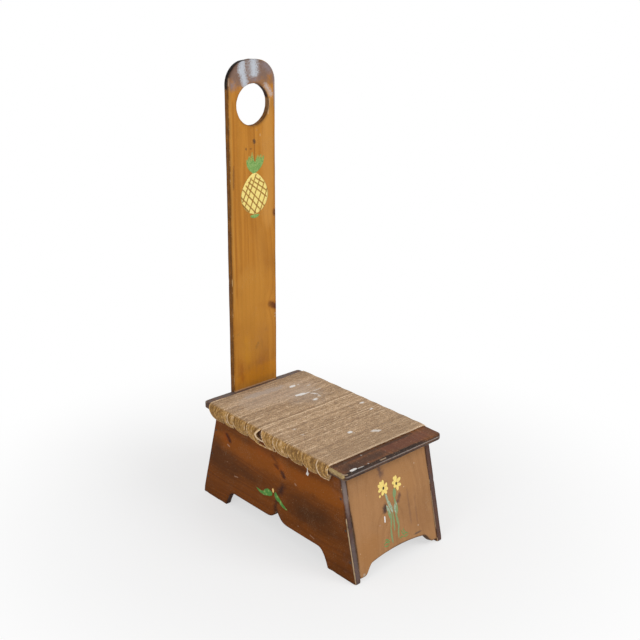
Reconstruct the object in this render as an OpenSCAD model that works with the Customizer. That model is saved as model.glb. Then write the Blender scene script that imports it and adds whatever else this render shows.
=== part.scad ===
// Spinning chair: a low splayed box stool with a tall back plank.
// The origin is the centre of the footprint on the floor, with +Z up.
// The front faces -Y and the back plank stands at the rear, towards +Y.

/* [Seat] */
// Length of the seat board, front to back
seat_l = 400; // [380:1:430]
// Width of the seat board
seat_w = 245; // [236:1:270]
// Thickness of the seat board
seat_t = 13; // [11:0.5:18]
// Corner radius of the seat board in plan
seat_corner_r = 9; // [4:1:14]
// Rounding of the seat board's long edges and ends
seat_edge_r = 3; // [2.5:0.5:5]
// Bare wood in front of the wound cord
bare_front = 41; // [32:1:60]
// Bare wood behind the wound cord
bare_rear = 19; // [11:0.5:20]

/* [Cord] */
// Thickness of the layer of wound cord
cord_t = 3; // [2:0.25:4]
// Number of bundles of cord round the seat board
cord_turns = 24; // [12:1:24]
// Space between one bundle and the next
cord_space = 0.8; // [0.6:0.1:2]
// Clearance between the cord and the wood
cord_clear = 0.3; // [0.2:0.1:0.5]
// How far the bundles hang below the seat board at its long edges
cord_sag = 7; // [4:0.5:9]

/* [Base] */
// Height of the two long sides
side_h = 195; // [170:0.5:210]
// Thickness of the boards of the base
board_t = 12.5; // [11:0.5:15]
// Width of the base over its long sides
base_w = 225; // [210:1:230]
// Length of the footprint on the floor
base_l = 447; // [430:1:470]
// Overhang of the seat board over the top of the front
front_over = 23.5; // [10:0.5:25]
// Overhang of the seat board over the top of the rear
rear_over = 30; // [24:0.5:34]

/* [Shaped lower edges] */
// Height of the straight lower edge of a long side
apron_h = 34; // [20:1:38]
// Length of the cove between that edge and a foot
cove_l = 28; // [20:1:45]
// Length of a foot on the floor, from the end of the side
foot_l = 74; // [55:1:90]
// Half width of the pointed notch in the middle
notch_w = 34; // [20:1:45]
// Height of the pointed notch above the straight edge
notch_h = 20; // [10:1:30]
// Shift of that notch from the middle, towards the rear
notch_shift = -8; // [-15:1:15]
// Height of the crown of the arch in the front and rear
arch_h = 32; // [31:1:45]
// Height of the shoulders of that arch
shoulder_h = 26; // [24:1:30]
// Height of the front's and rear's own feet above the floor
end_foot_z = 8; // [4:1:14]
// Length of such a foot
end_foot_l = 12; // [8:1:20]

/* [Back plank] */
// Width of the plank
plank_w = 109; // [90:1:120]
// Thickness of the plank
plank_t = 12.5; // [9:0.5:13]
// Height of the plank above the seat board
plank_rise = 642.5; // [500:0.5:720]
// Shift of the plank to the right of the middle
plank_shift = 3; // [-8:1:8]
// Depth of the notch that the plank stands in
plank_notch = 6.5; // [6:0.5:10]
// Clearance of the plank in its notch
notch_clear = 0.3; // [0.1:0.1:0.6]
// Radius of the plank's upper corners
plank_r = 40; // [20:1:45]
// Rise of the crowned top edge between those corners
crown_h = 3; // [1:0.5:6]
// Radius of the hand hole
hole_r = 38.5; // [30:0.5:42]
// Distance from the top of the plank to the centre of the hand hole
hole_drop = 82; // [70:1:110]
// Height of the plank's lower end above the floor
plank_foot_z = 92; // [88:1:100]

/* [Glue blocks] */
// Width of a corner block, along the front or rear
block_w = 20; // [14:1:26]
// Depth of a corner block, along the side
block_d = 20; // [14:1:26]
// Height of a corner block
block_h = 110; // [80:1:130]
// Thickness of the wedge block at its lower end
wedge_tip = 3; // [2:0.5:5]
// Distance of the wedge block's ends from the plank's edges
wedge_in = 6; // [2:1:12]

/* [Nails and screws] */
// Diameter of a nail
nail_d = 2.2; // [1.8:0.1:2.8]
// Diameter of a nail's head
nail_head_d = 4.6; // [4:0.1:6]
// Thickness of a nail's head
nail_head_t = 1; // [0.8:0.1:1.5]
// Length of a nail in a corner of the base
corner_nail_l = 38; // [30:1:42]
// Length of a nail through the seat board
seat_nail_l = 40; // [32:1:44]
// Number of nails in each corner
corner_nails = 3; // [2:1:4]
// Distance between the nails through the seat board
seat_nail_step = 76; // [50:1:85]
// Diameter of a screw
screw_d = 4; // [3.5:0.25:4.5]
// Diameter of a screw's flat head
screw_head_d = 8; // [7:0.5:9]
// Length of a screw
screw_l = 30; // [26:1:32]
// Distance between the screws of a pair
screw_step = 62; // [40:1:76]
// Width of the slot in a screw's head
slot_w = 1.1; // [0.8:0.1:1.4]
// Clearance round nails and screws
pin_clear = 0.1; // [0.05:0.05:0.2]

/* [Hidden] */

$fn = 48;
// Steps of each curved stretch of an outline
steps = 12;
// Length by which cutting solids run past the wood
past = 1;

// Heights of the seat board's two faces
under_z = side_h + cord_t + 2 * cord_clear;
seat_z = under_z + seat_t;
plank_z = seat_z + plank_rise;
hole_z = plank_z - hole_drop;

// The outer faces of the front and rear lean outwards towards the floor
front_top = seat_l / 2 - front_over;
rear_top = seat_l / 2 - rear_over;
front_slope = (base_l / 2 - front_top) / under_z;
rear_slope = (base_l / 2 - rear_top) / under_z;
function front_y(z) = -base_l / 2 + front_slope * z;
function rear_y(z) = base_l / 2 - rear_slope * z;
front_lean = atan(front_slope);
rear_lean = atan(rear_slope);
// Level thickness of the leaning boards
front_t = board_t / cos(front_lean);
rear_t = board_t / cos(rear_lean);

// Inner faces of the long sides and the front face of the plank
inner_x = base_w / 2 - board_t;
plank_y = seat_l / 2 - plank_notch;
// Height at which the wedge block between the rear and the plank is wedge_tip thick
wedge_z = (base_l / 2 - plank_y + wedge_tip) / rear_slope;

wood_dark = [0.24, 0.13, 0.08];
wood_side = [0.40, 0.20, 0.09];
wood_end = [0.58, 0.38, 0.20];
wood_plank = [0.62, 0.36, 0.13];
wood_raw = [0.72, 0.58, 0.38];
cord_tan = [0.62, 0.49, 0.33];
steel = [0.35, 0.33, 0.31];

// An eased step from 0 to 1
function ease(t) = t * t * (3 - 2 * t);

// Corner points of a rectangle of size w by h with corners of radius r
function round_rect(w, h, r) = [
    for (q = [0:3], i = [0:steps])
        let (a = 90 * (q + i / steps),
             sx = (q == 0 || q == 3) ? 1 : -1,
             sy = q < 2 ? 1 : -1)
        [sx * (w / 2 - r) + r * cos(a), sy * (h / 2 - r) + r * sin(a)]
];

// Turns a flat outline drawn as (Y, Z) into a slab from x0 to x0 + t
module slab_x(x0, t) {
    translate([x0, 0, 0]) rotate([90, 0, 90]) linear_extrude(t) children();
}

// Turns a flat outline drawn as (X, Z) into a slab from y0 to y0 + t
module slab_y(y0, t) {
    translate([0, y0 + t, 0]) rotate([90, 0, 0]) linear_extrude(t) children();
}

// A nail along +Z with its head's top at the origin, grown all round by gap
module nail(length, gap = 0) {
    translate([0, 0, -length - gap]) cylinder(d = nail_d + 2 * gap, h = length + gap);
    translate([0, 0, -nail_head_t - gap])
        cylinder(d = nail_head_d + 2 * gap, h = nail_head_t + gap + (gap > 0 ? past : 0));
}

// A flat-headed screw along +Z with its head's top at the origin, grown by gap
module screw(gap = 0) {
    r = screw_d / 2 + gap;
    head_r = screw_head_d / 2 + gap;
    top = gap > 0 ? past : 0;
    rotate_extrude()
        polygon([[0, -screw_l - gap], [r * 0.4, -screw_l - gap], [r, -screw_l * 0.85],
                 [r, r - head_r], [head_r, 0], [head_r, top], [0, top]]);
}

// Places a child at each corner nail, pointing outwards through the long sides
module at_corner_nails() {
    for (i = [0:corner_nails - 1]) {
        z = side_h * (i + 0.7) / (corner_nails + 0.4);
        for (y = [front_y(z) + front_t / 2, rear_y(z) - rear_t / 2], s = [-1, 1])
            translate([s * base_w / 2, y, z]) rotate([0, s * 90, 0]) children();
    }
}

// Places a child at each nail through the seat board, along the leaning front
module at_seat_nails() {
    for (x = [-seat_nail_step, 0, seat_nail_step])
        translate([x, front_y(seat_z) + front_t / 2, seat_z])
            rotate([-front_lean, 0, 0]) translate([0, 0, -nail_head_t]) children();
}

// Places a child at each screw through the plank
module at_plank_screws() {
    for (x = [-screw_step / 2, screw_step / 2], z = [(under_z + seat_z) / 2, (wedge_z + side_h) / 2])
        translate([plank_shift + x, plank_y + plank_t, z]) rotate([-90, 0, 0]) children();
}

// Board with rounded edges, notched at the rear for the plank
module seat_board() {
    color(wood_dark) difference() {
        intersection() {
            translate([0, 0, under_z]) linear_extrude(seat_t)
                polygon(round_rect(seat_w, seat_l, seat_corner_r));
            translate([0, 0, (under_z + seat_z) / 2])
                slab_x(-seat_w / 2, seat_w) polygon(round_rect(seat_l, seat_t, seat_edge_r));
            translate([0, 0, (under_z + seat_z) / 2])
                slab_y(-seat_l / 2, seat_l) polygon(round_rect(seat_w, seat_t, seat_edge_r));
        }
        translate([plank_shift - plank_w / 2 - notch_clear, plank_y, under_z - past])
            cube([plank_w + 2 * notch_clear, plank_notch + past, seat_t + 2 * past]);
        at_seat_nails() nail(seat_nail_l, pin_clear);
        at_plank_screws() screw(pin_clear);
    }
}

// Centre line of one bundle over one half of the seat board, as (X, Z) points.
// It runs over the top, round the edge, sags beside the long side's outer face
// and comes back up to pass between the side and the seat board.
cord_x = seat_w / 2 + cord_clear + cord_t / 2;
cord_top = seat_z + cord_clear + cord_t / 2;
cord_low = under_z - cord_clear - cord_t / 2;
edge_r = seat_edge_r + cord_clear + cord_t / 2;
lip = seat_w / 2 - base_w / 2;
half_loop = concat(
    [for (a = [90, 60, 30, 0]) [cord_x - edge_r + edge_r * cos(a), cord_top - edge_r + edge_r * sin(a)]],
    [[cord_x, under_z],
     [cord_x - lip * 0.2, under_z - cord_sag * 0.75],
     [cord_x - lip * 0.5, under_z - cord_sag],
     [cord_x - lip * 0.75, under_z - cord_sag * 0.85],
     [base_w / 2 + cord_t / 3, cord_low]]);
half_n = len(half_loop);
// One whole turn, beginning and ending in the middle of the underside
turn = concat(
    [[0, cord_low]],
    [for (i = [half_n - 1:-1:0]) [-half_loop[i][0], half_loop[i][1]]],
    [[0, cord_top]],
    half_loop);
turn_n = len(turn);
function turn_at(i) = turn[(i + turn_n) % turn_n];
// Length of the centre line from the start of the turn to point i
run = [for (i = 0, s = 0; i <= turn_n; s = s + norm(turn_at(i + 1) - turn_at(i)), i = i + 1) s];

cord_start = -seat_l / 2 + bare_front;
cord_end = seat_l / 2 - bare_rear;
pitch = (cord_end - cord_start) / (cord_turns + 1);
band_w = pitch - cord_space;
rings_n = cord_turns * turn_n + 1;

// Outward direction at point i of a turn, lengthened where the line bends
function unit(v) = v / norm(v);
function outward(i) =
    let (d0 = unit(turn_at(i) - turn_at(i - 1)),
         d1 = unit(turn_at(i + 1) - turn_at(i)),
         m = unit(d0 + d1))
    [-m[1], m[0]] / max(0.75, m * d1);

// Six corners of the bundle's flat section at ring i, as 3-D points
flat = [[-0.5, 0], [-0.42, 0.5], [0.42, 0.5], [0.5, 0], [0.42, -0.5], [-0.42, -0.5]];
function ring_y(i) = cord_start + pitch * (0.5 + floor(i / turn_n) + run[i % turn_n] / run[turn_n]);
function ring(i) =
    let (c = turn_at(i % turn_n), n = outward(i % turn_n), y = ring_y(i))
    [for (f = flat) [c[0] + n[0] * f[1] * cord_t, y + f[0] * band_w, c[1] + n[1] * f[1] * cord_t]];
cord_rings = [for (i = [0:rings_n - 1]) ring(i)];

// Least gap between one turn and the next, measured on the rings' edge points
cord_gap = min([for (i = [0:rings_n - 1 - turn_n], j = [-1:1])
    let (k = i + turn_n + j)
    (k < rings_n) ? norm(cord_rings[k][0] - cord_rings[i][3]) : 1000]);
echo(cord_gap = cord_gap);

// Cord wound round the seat board, as one unbroken flat bundle
module seat_cord() {
    ring_points = [for (r = cord_rings, p = r) p];
    last = 6 * (rings_n - 1);
    walls = [for (i = [0:rings_n - 2], k = [0:5])
        let (a = 6 * i + k, b = 6 * i + (k + 1) % 6)
        each [[a, b, b + 6], [a, b + 6, a + 6]]];
    caps = [for (k = [1:4]) each [[0, k + 1, k], [last, last + k, last + k + 1]]];
    color(cord_tan) polyhedron(ring_points, concat(walls, caps));
}

// Half of a long side's lower edge, from the notch's point to the foot's end
foot_y = base_l / 2 - foot_l;
function half_apron(to) = concat(
    [for (i = [0:steps]) let (t = i / steps)
        [notch_shift + to * notch_w * t, apron_h + notch_h * pow(1 - t, 3)]],
    [for (i = [0:steps]) let (t = i / steps)
        [to * (foot_y - cove_l * (1 - t)), apron_h * (1 - pow(t, 2.2))]]);
front_apron = half_apron(-1);

// Long side with bracket feet and a pointed notch, drilled for the corner nails
module side_panel(x0) {
    difference() {
        slab_x(x0, board_t) polygon(concat(
            [for (i = [len(front_apron) - 1:-1:1]) front_apron[i]], half_apron(1),
            [[rear_y(0), 0], [rear_y(side_h), side_h], [front_y(side_h), side_h], [front_y(0), 0]]));
        at_corner_nails() nail(corner_nail_l, pin_clear);
    }
}

module left_side_panel() {
    color(wood_side) side_panel(-base_w / 2);
}

module right_side_panel() {
    color(wood_side) side_panel(inner_x);
}

// Outline of an end board as (X, Z), with its arch between two short feet
arch_x = inner_x - end_foot_l;
shoulder_x = arch_x * 0.74;
module arched_end(top_z) {
    half = concat(
        [for (i = [0:steps]) let (t = i / steps)
            [shoulder_x * t, arch_h - (arch_h - shoulder_h) * t * t]],
        [for (i = [1:steps]) let (t = i / steps)
            [shoulder_x + (arch_x - shoulder_x) * t, shoulder_h - (shoulder_h - end_foot_z) * ease(t)]],
        [[inner_x, end_foot_z], [inner_x, top_z]]);
    polygon(concat(half, [for (i = [len(half) - 1:-1:1]) [-half[i][0], half[i][1]]]));
}

// Leaning front, its top level with the seat board's underside
module front_panel() {
    color(wood_end) difference() {
        intersection() {
            slab_y(-base_l / 2, base_l / 2) arched_end(under_z);
            slab_x(-inner_x, 2 * inner_x) polygon([
                [front_y(0), 0], [front_y(0) + front_t, 0],
                [front_y(under_z) + front_t, under_z], [front_y(under_z), under_z]]);
        }
        at_corner_nails() nail(corner_nail_l, pin_clear);
        at_seat_nails() nail(seat_nail_l, pin_clear);
    }
}

// Leaning rear, lower than the front by the layer of cord
module rear_panel() {
    color(wood_side) difference() {
        intersection() {
            slab_y(0, base_l / 2) arched_end(side_h);
            slab_x(-inner_x, 2 * inner_x) polygon([
                [rear_y(0), 0], [rear_y(0) - rear_t, 0],
                [rear_y(side_h) - rear_t, side_h], [rear_y(side_h), side_h]]);
        }
        at_corner_nails() nail(corner_nail_l, pin_clear);
        at_plank_screws() screw(pin_clear);
    }
}

// Outline of the plank as (X, Z), with round corners and a crowned top
module plank_outline() {
    flat_x = plank_w / 2 - plank_r;
    side_z = plank_z - crown_h - plank_r;
    half = concat(
        [[plank_w / 2, plank_foot_z]],
        [for (i = [0:steps]) let (a = 90 * i / steps)
            [flat_x + plank_r * cos(a), side_z + plank_r * sin(a) + crown_h * pow(sin(a), 4) * 0.5]],
        [[0, plank_z]]);
    polygon(concat(half, [for (i = [len(half) - 2:-1:0]) [-half[i][0], half[i][1]]]));
}

// Upright plank with a hand hole, its lower end bevelled to the leaning rear
module back_plank() {
    color(wood_plank) difference() {
        translate([plank_shift, 0, 0]) slab_y(plank_y, plank_t) plank_outline();
        translate([plank_shift, plank_y - past, hole_z]) rotate([-90, 0, 0])
            cylinder(r = hole_r, h = plank_t + 2 * past, $fn = 96);
        slab_x(-base_w, 2 * base_w) polygon([
            [plank_y - past, plank_foot_z - past], [rear_y(plank_foot_z - past), plank_foot_z - past],
            [rear_y(side_h), side_h], [rear_y(side_h) - past, side_h], [plank_y - past, plank_foot_z]]);
        at_plank_screws() screw(pin_clear);
    }
}

// Tapered block that fills the space between the leaning rear and the plank
module wedge_block() {
    half_w = plank_w / 2 - wedge_in;
    color(wood_raw) difference() {
        slab_x(plank_shift - half_w, 2 * half_w) polygon([
            [plank_y, wedge_z], [plank_y, side_h], [rear_y(side_h), side_h], [rear_y(wedge_z), wedge_z]]);
        at_plank_screws() screw(pin_clear);
    }
}

// Glue block in a corner: side -1 is left and 1 right, end -1 is front and 1 rear
module corner_block(side, end) {
    z0 = side_h - block_h;
    face0 = end < 0 ? front_y(z0) + front_t : rear_y(z0) - rear_t;
    face1 = end < 0 ? front_y(side_h) + front_t : rear_y(side_h) - rear_t;
    color(wood_raw) slab_x(side < 0 ? -inner_x : inner_x - block_w, block_w) polygon([
        [face0, z0], [face0 - end * block_d, z0],
        [face1 - end * block_d, side_h], [face1, side_h]]);
}

module front_left_block() {
    corner_block(-1, -1);
}

module front_right_block() {
    corner_block(1, -1);
}

module rear_left_block() {
    corner_block(-1, 1);
}

module rear_right_block() {
    corner_block(1, 1);
}

// Nails through the long sides into the ends of the front and rear
module corner_nail_set() {
    color(steel) at_corner_nails() nail(corner_nail_l);
}

// Nails through the bare front of the seat board into the front
module seat_nail_set() {
    color(steel) at_seat_nails() nail(seat_nail_l);
}

// Slotted screws through the plank into the seat board, the wedge and the rear
module plank_screw_set() {
    color(steel) at_plank_screws() difference() {
        screw();
        translate([-screw_head_d, -slot_w / 2, -slot_w * 0.9])
            cube([2 * screw_head_d, slot_w, 2 * slot_w]);
    }
}

seat_board();
seat_cord();
left_side_panel();
right_side_panel();
front_panel();
rear_panel();
back_plank();
wedge_block();
front_left_block();
front_right_block();
rear_left_block();
rear_right_block();
corner_nail_set();
seat_nail_set();
plank_screw_set();
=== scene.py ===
import bmesh
import bpy
import numpy as np
from mathutils import Matrix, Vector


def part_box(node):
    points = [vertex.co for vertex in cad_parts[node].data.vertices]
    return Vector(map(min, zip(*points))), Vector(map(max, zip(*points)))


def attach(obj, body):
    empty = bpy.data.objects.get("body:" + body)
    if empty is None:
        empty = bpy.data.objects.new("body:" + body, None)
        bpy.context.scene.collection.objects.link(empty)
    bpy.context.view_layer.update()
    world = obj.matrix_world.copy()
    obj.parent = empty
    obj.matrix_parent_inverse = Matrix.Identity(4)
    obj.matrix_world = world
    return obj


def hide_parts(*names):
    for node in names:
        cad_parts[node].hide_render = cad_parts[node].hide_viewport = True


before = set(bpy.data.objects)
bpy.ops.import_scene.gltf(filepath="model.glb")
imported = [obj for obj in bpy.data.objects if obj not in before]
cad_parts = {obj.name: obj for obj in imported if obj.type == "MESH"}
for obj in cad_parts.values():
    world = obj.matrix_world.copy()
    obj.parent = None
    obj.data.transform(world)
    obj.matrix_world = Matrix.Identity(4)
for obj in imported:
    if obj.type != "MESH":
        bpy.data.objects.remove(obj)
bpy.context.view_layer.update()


# Camera. It stands where the photograph was taken from, in front of the chair's
# left side and a little above its top, with a slightly long lens. Its place,
# angles and focal length were worked out from the chair's corners.
CAMERA_PLACE = (-1.2047, -1.3204, 1.0655)
CAMERA_YAW, CAMERA_PITCH, CAMERA_ROLL = np.radians((42.377, 20.255, 0.538))
FOCAL_PIXELS, PICTURE_PIXELS, FILM_WIDTH = 1043.0, 640, 36.0

forward = np.array([np.sin(CAMERA_YAW) * np.cos(CAMERA_PITCH),
                    np.cos(CAMERA_YAW) * np.cos(CAMERA_PITCH), -np.sin(CAMERA_PITCH)])
level = np.array([np.cos(CAMERA_YAW), -np.sin(CAMERA_YAW), 0.0])
upright = np.cross(level, forward)
right = np.cos(CAMERA_ROLL) * level + np.sin(CAMERA_ROLL) * upright
up = np.cos(CAMERA_ROLL) * upright - np.sin(CAMERA_ROLL) * level
camera_data = bpy.data.cameras.new("camera")
camera_data.sensor_width = FILM_WIDTH
camera_data.lens = FILM_WIDTH * FOCAL_PIXELS / PICTURE_PIXELS
camera = bpy.data.objects.new("camera", camera_data)
bpy.context.scene.collection.objects.link(camera)
turn = Matrix([list(row) for row in np.array([right, up, -forward]).T]).to_4x4()
camera.matrix_world = Matrix.Translation(CAMERA_PLACE) @ turn
bpy.context.scene.camera = camera
bpy.context.scene.view_settings.view_transform = "Standard"


# Room. A pale floor that keeps the chair's shadow and turns to plain white
# further out, plain white surroundings, and two large soft lamps.
FLOOR_HALF, FLOOR_GREY = 6.0, (0.86, 0.86, 0.86, 1)
SHADOW_REACH, SHADOW_WHITE = (0.30, 0.85), (0.62, 1.0)
ROOM_LIGHT = 0.55
LAMP_AIM = 0.35
LAMPS = {"window_lamp": ((1.1, -2.6, 2.5), 2.2, 52.0), "side_lamp": ((-2.7, -0.7, 1.9), 1.8, 22.0)}


def feed(tree, inputs, values):
    """Gives each named socket its value, or links it where the value comes from another node."""
    for key, value in values.items():
        if isinstance(value, bpy.types.NodeSocket):
            tree.links.new(value, inputs[key])
        else:
            inputs[key].default_value = value


def add(tree, kind, sockets=None, **settings):
    """One shader node: its settings, then its sockets, each a value or a link."""
    made = tree.nodes.new("ShaderNode" + kind)
    for key, value in settings.items():
        setattr(made, key, value)
    feed(tree, made.inputs, sockets or {})
    return made


def calc(tree, operation, *values, clamp=False):
    """One step of arithmetic on values or links."""
    return add(tree, "Math", dict(enumerate(values)), operation=operation, use_clamp=clamp).outputs[0]


def object_place(tree):
    """The place on the object, in metres."""
    return add(tree, "TexCoord").outputs["Object"]


def length(tree, place):
    """How long a place is as an arrow."""
    return add(tree, "VectorMath", {0: place}, operation="LENGTH").outputs["Value"]


def step(tree, value, low, high, to_low=0.0, to_high=1.0):
    """An eased step: to_low below low, to_high above high."""
    limits = {"Value": value, "From Min": low, "From Max": high, "To Min": to_low, "To Max": to_high}
    return add(tree, "MapRange", limits, interpolation_type="SMOOTHSTEP").outputs["Result"]


def new_material(name, roughness=0.5, specular=0.5):
    """An empty material, its node tree and its shader."""
    material = bpy.data.materials.new(name)
    material.use_nodes = True
    tree = material.node_tree
    shader = tree.nodes["Principled BSDF"]
    feed(tree, shader.inputs, {"Roughness": roughness, "Specular IOR Level": specular})
    return material, tree, shader


def put_mesh(name, points, faces):
    """An object with the given points and faces, all smooth and facing outwards."""
    mesh = bpy.data.meshes.new(name)
    mesh.from_pydata(points, [], faces)
    work = bmesh.new()
    work.from_mesh(mesh)
    bmesh.ops.recalc_face_normals(work, faces=work.faces)
    work.to_mesh(mesh)
    work.free()
    mesh.polygons.foreach_set("use_smooth", np.ones(len(mesh.polygons), bool))
    made = bpy.data.objects.new(name, mesh)
    bpy.context.scene.collection.objects.link(made)
    return made


floor_corners = [(-FLOOR_HALF, -FLOOR_HALF, 0), (FLOOR_HALF, -FLOOR_HALF, 0),
                 (FLOOR_HALF, FLOOR_HALF, 0), (-FLOOR_HALF, FLOOR_HALF, 0)]
floor = put_mesh("floor", floor_corners, [(0, 1, 2, 3)])
material, tree, shader = new_material("pale_floor", 0.9, 0.1)
feed(tree, shader.inputs, {"Base Color": FLOOR_GREY})
distance = length(tree, object_place(tree))
seen = add(tree, "LightPath").outputs["Is Camera Ray"]
white = add(tree, "Emission", {"Color": (1, 1, 1, 1), "Strength": 1.0}).outputs[0]
share = calc(tree, "MULTIPLY", step(tree, distance, *SHADOW_REACH, *SHADOW_WHITE), seen)
mixed = add(tree, "MixShader", {0: share, 1: shader.outputs[0], 2: white}).outputs[0]
feed(tree, tree.nodes["Material Output"].inputs, {"Surface": mixed})
floor.data.materials.append(material)

world = bpy.context.scene.world or bpy.data.worlds.new("room")
bpy.context.scene.world = world
world.use_nodes = True
tree = world.node_tree
tree.nodes.clear()
path = add(tree, "LightPath")
plain = calc(tree, "MAXIMUM", path.outputs["Is Camera Ray"], path.outputs["Is Transmission Ray"])
strength = calc(tree, "MULTIPLY_ADD", plain, 1.0 - ROOM_LIGHT, ROOM_LIGHT)
sky = add(tree, "Background", {"Color": (1, 1, 1, 1), "Strength": strength})
add(tree, "OutputWorld", {"Surface": sky.outputs[0]})

for name, (place, size, power) in LAMPS.items():
    lamp = bpy.data.lights.new(name, "AREA")
    lamp.shape, lamp.size, lamp.energy = "DISK", size, power
    lamp_object = bpy.data.objects.new(name, lamp)
    bpy.context.scene.collection.objects.link(lamp_object)
    aim = Matrix.Translation(place).to_translation()
    lamp_object.location = place
    aim.z -= LAMP_AIM
    lamp_object.rotation_euler = aim.to_track_quat("Z", "Y").to_euler()


# Long sides. Two pine boards, stained dark red brown and varnished, with
# bracket feet and a small pointed notch sawn into the lower edge. They stand
# upright and cover the ends of the front and rear, to which they are nailed.
FOOT_LENGTH, COVE_LENGTH, APRON_HEIGHT = 0.074, 0.028, 0.034
NOTCH_HALF, NOTCH_HEIGHT, NOTCH_SHIFT = 0.034, 0.020, -0.008
EDGE_EASE, EDGE_BAND, EDGE_PACE, EDGE_WAVER = 0.0013, 0.006, 0.0022, 0.00012
# How many points a rounded border, a hole, a curve and a soft corner are drawn with
ROUND_STEPS, HOLE_POINTS, CURVE_POINTS, CORNER_POINTS = 6, 96, 24, 7
FACE_SINK, FACE_STEP, SAWN_STEP = 0.00015, 0.0003, 0.0008
SIDE_LIGHT, SIDE_DARK = (0.215, 0.058, 0.004, 1), (0.110, 0.028, 0.003, 1)
SIDE_GLOW = (0.275, 0.074, 0.004, 1)
SIDE_STAIN, SIDE_SMOKE = (0.078, 0.024, 0.004, 1), (0.024, 0.012, 0.005, 1)
KNOT_RED, KNOT_BLACK = (0.046, 0.009, 0.004, 1), (0.014, 0.006, 0.005, 1)
SAWN_GREY, SCUFF_PINK = (0.082, 0.068, 0.072, 1), (0.430, 0.240, 0.150, 1)
DUST_CREAM, FLECK_CREAM = (0.560, 0.400, 0.250, 1), (0.860, 0.740, 0.560, 1)
BARE_PINE, CHALK_WHITE = (0.520, 0.370, 0.220, 1), (0.800, 0.775, 0.740, 1)
side_low, side_high = (np.array(v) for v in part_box("left_side_panel"))
BOARD_THICK = side_high[0] - side_low[0]
SIDE_HEIGHT = side_high[2]
BASE_HALF = side_high[1]
seat_low, seat_high = (np.array(v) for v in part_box("seat_board"))
SEAT_UNDER = seat_low[2]
FRONT_TOP, REAR_TOP = -0.1765, 0.170
FRONT_SLOPE = (BASE_HALF + FRONT_TOP) / SEAT_UNDER
REAR_SLOPE = (BASE_HALF - REAR_TOP) / SEAT_UNDER


def eased(t):
    """From 0 to 1 with a level start and end: 3 t squared less 2 t cubed."""
    return t * t * (3 - 2 * t)


def wander(along, seed, waves=(3, 7, 16, 37)):
    """Unevenness of a hand-worked edge: sines of the share along it, weaker as they get shorter."""
    phases = np.random.default_rng(seed).uniform(0, 2 * np.pi, len(waves))
    return sum(np.sin(2 * np.pi * w * along + p) / (i + 1.5) for i, (w, p) in enumerate(zip(waves, phases)))


def soft_corners(corners, radii):
    """A closed outline whose corners are short curves: the square of 1 - t of the point
    before, twice t times 1 - t of the corner and the square of t of the point after."""
    corners = np.array(corners, float)
    radii = np.broadcast_to(radii, len(corners))
    before, after = np.roll(corners, 1, 0) - corners, np.roll(corners, -1, 0) - corners
    t = np.linspace(0, 1, CORNER_POINTS)[:, None]
    parts = []
    for corner, b, a, radius in zip(corners, before, after, radii):
        cut = min(radius, 0.45 * np.linalg.norm(a), 0.45 * np.linalg.norm(b))
        first, last = corner + b / np.linalg.norm(b) * cut, corner + a / np.linalg.norm(a) * cut
        parts.append((1 - t) ** 2 * first + 2 * t * (1 - t) * corner + t ** 2 * last)
    return np.concatenate(parts)


def even_steps(outline, pace):
    """The closed outline cut into equal steps of about the given pace."""
    closed = np.vstack([outline, outline[:1]])
    run = np.concatenate([[0], np.cumsum(np.linalg.norm(np.diff(closed, axis=0), axis=1))])
    count = max(8, int(round(run[-1] / pace)))
    at = np.linspace(0, run[-1], count, endpoint=False)
    return np.stack([np.interp(at, run, closed[:, i]) for i in (0, 1)], axis=1)


def inward(loop):
    """Unit directions to the left of a closed loop, halved between its two edges at each point."""
    edge = np.roll(loop, -1, 0) - loop
    edge /= np.linalg.norm(edge, axis=1)[:, None]
    mean = edge + np.roll(edge, 1, 0)
    mean /= np.linalg.norm(mean, axis=1)[:, None]
    return np.stack([-mean[:, 1], mean[:, 0]], axis=1)


def moved_in(loop, side, depth):
    """A loop moved in by depth. Points that end up nearer than that to another stretch of the
    loop are spread evenly between the sound points before and after them."""
    moved = loop + side * depth
    near = np.linalg.norm(moved[:, None] - loop[None], axis=2).min(axis=1)
    sound = near >= 0.96 * depth[:, 0] - 1e-9
    i = np.arange(len(loop))
    return np.stack([np.interp(i, i[sound], moved[sound, k], period=len(loop)) for k in (0, 1)], axis=1)


def rings_over(here, thick, first_inset):
    """The rings that carry an outline over one edge, down the thickness and over the other edge.
    Each is how far in it lies, how far down, and its edge and sawn values. At angle a of the
    rounding a ring lies in by the ease, here, times 1 - sin a, and down by here times 1 - cos a."""
    angles = np.radians(np.linspace(0, 90, ROUND_STEPS))
    flat = [(np.full_like(here, first_inset), 0 * here, 0.0, 0.0),
            (here * 1.15 + FACE_STEP, 0 * here, 0.5, 0.0)]
    rounded = [(here * (1 - np.sin(a)), here * (1 - np.cos(a)), 0.7 + 0.3 * np.sin(2 * a), a / angles[-1])
               for a in angles]
    upper = flat + rounded + [(0 * here, here + SAWN_STEP, 0.35, 1.0)]
    middle = [(0 * here, 0 * here + thick / 2, 0.0, 1.0)]
    lower = [(inset, thick - depth, rim, cut) for inset, depth, rim, cut in reversed(upper)]
    return upper + middle + lower


def two_halves(flat, outer, inner, hole):
    """A face with a hole as two polygons, which meet above and below the hole's middle."""
    ends = []
    for part in (outer, inner):
        aside = np.abs(flat[part, 0] - hole[0])
        above = flat[part, 1] > hole[1]
        ends.append((np.argmin(aside + 9 * ~above), np.argmin(aside + 9 * above)))
    (top, bottom), (hole_top, hole_bottom) = ends

    def stretch(loop, start, end):
        return np.roll(loop, -start)[:(end - start) % len(loop) + 1].tolist()

    return [stretch(outer, top, bottom) + stretch(inner, hole_bottom, hole_top),
            stretch(outer, bottom, top) + stretch(inner, hole_top, hole_bottom)]


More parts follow.
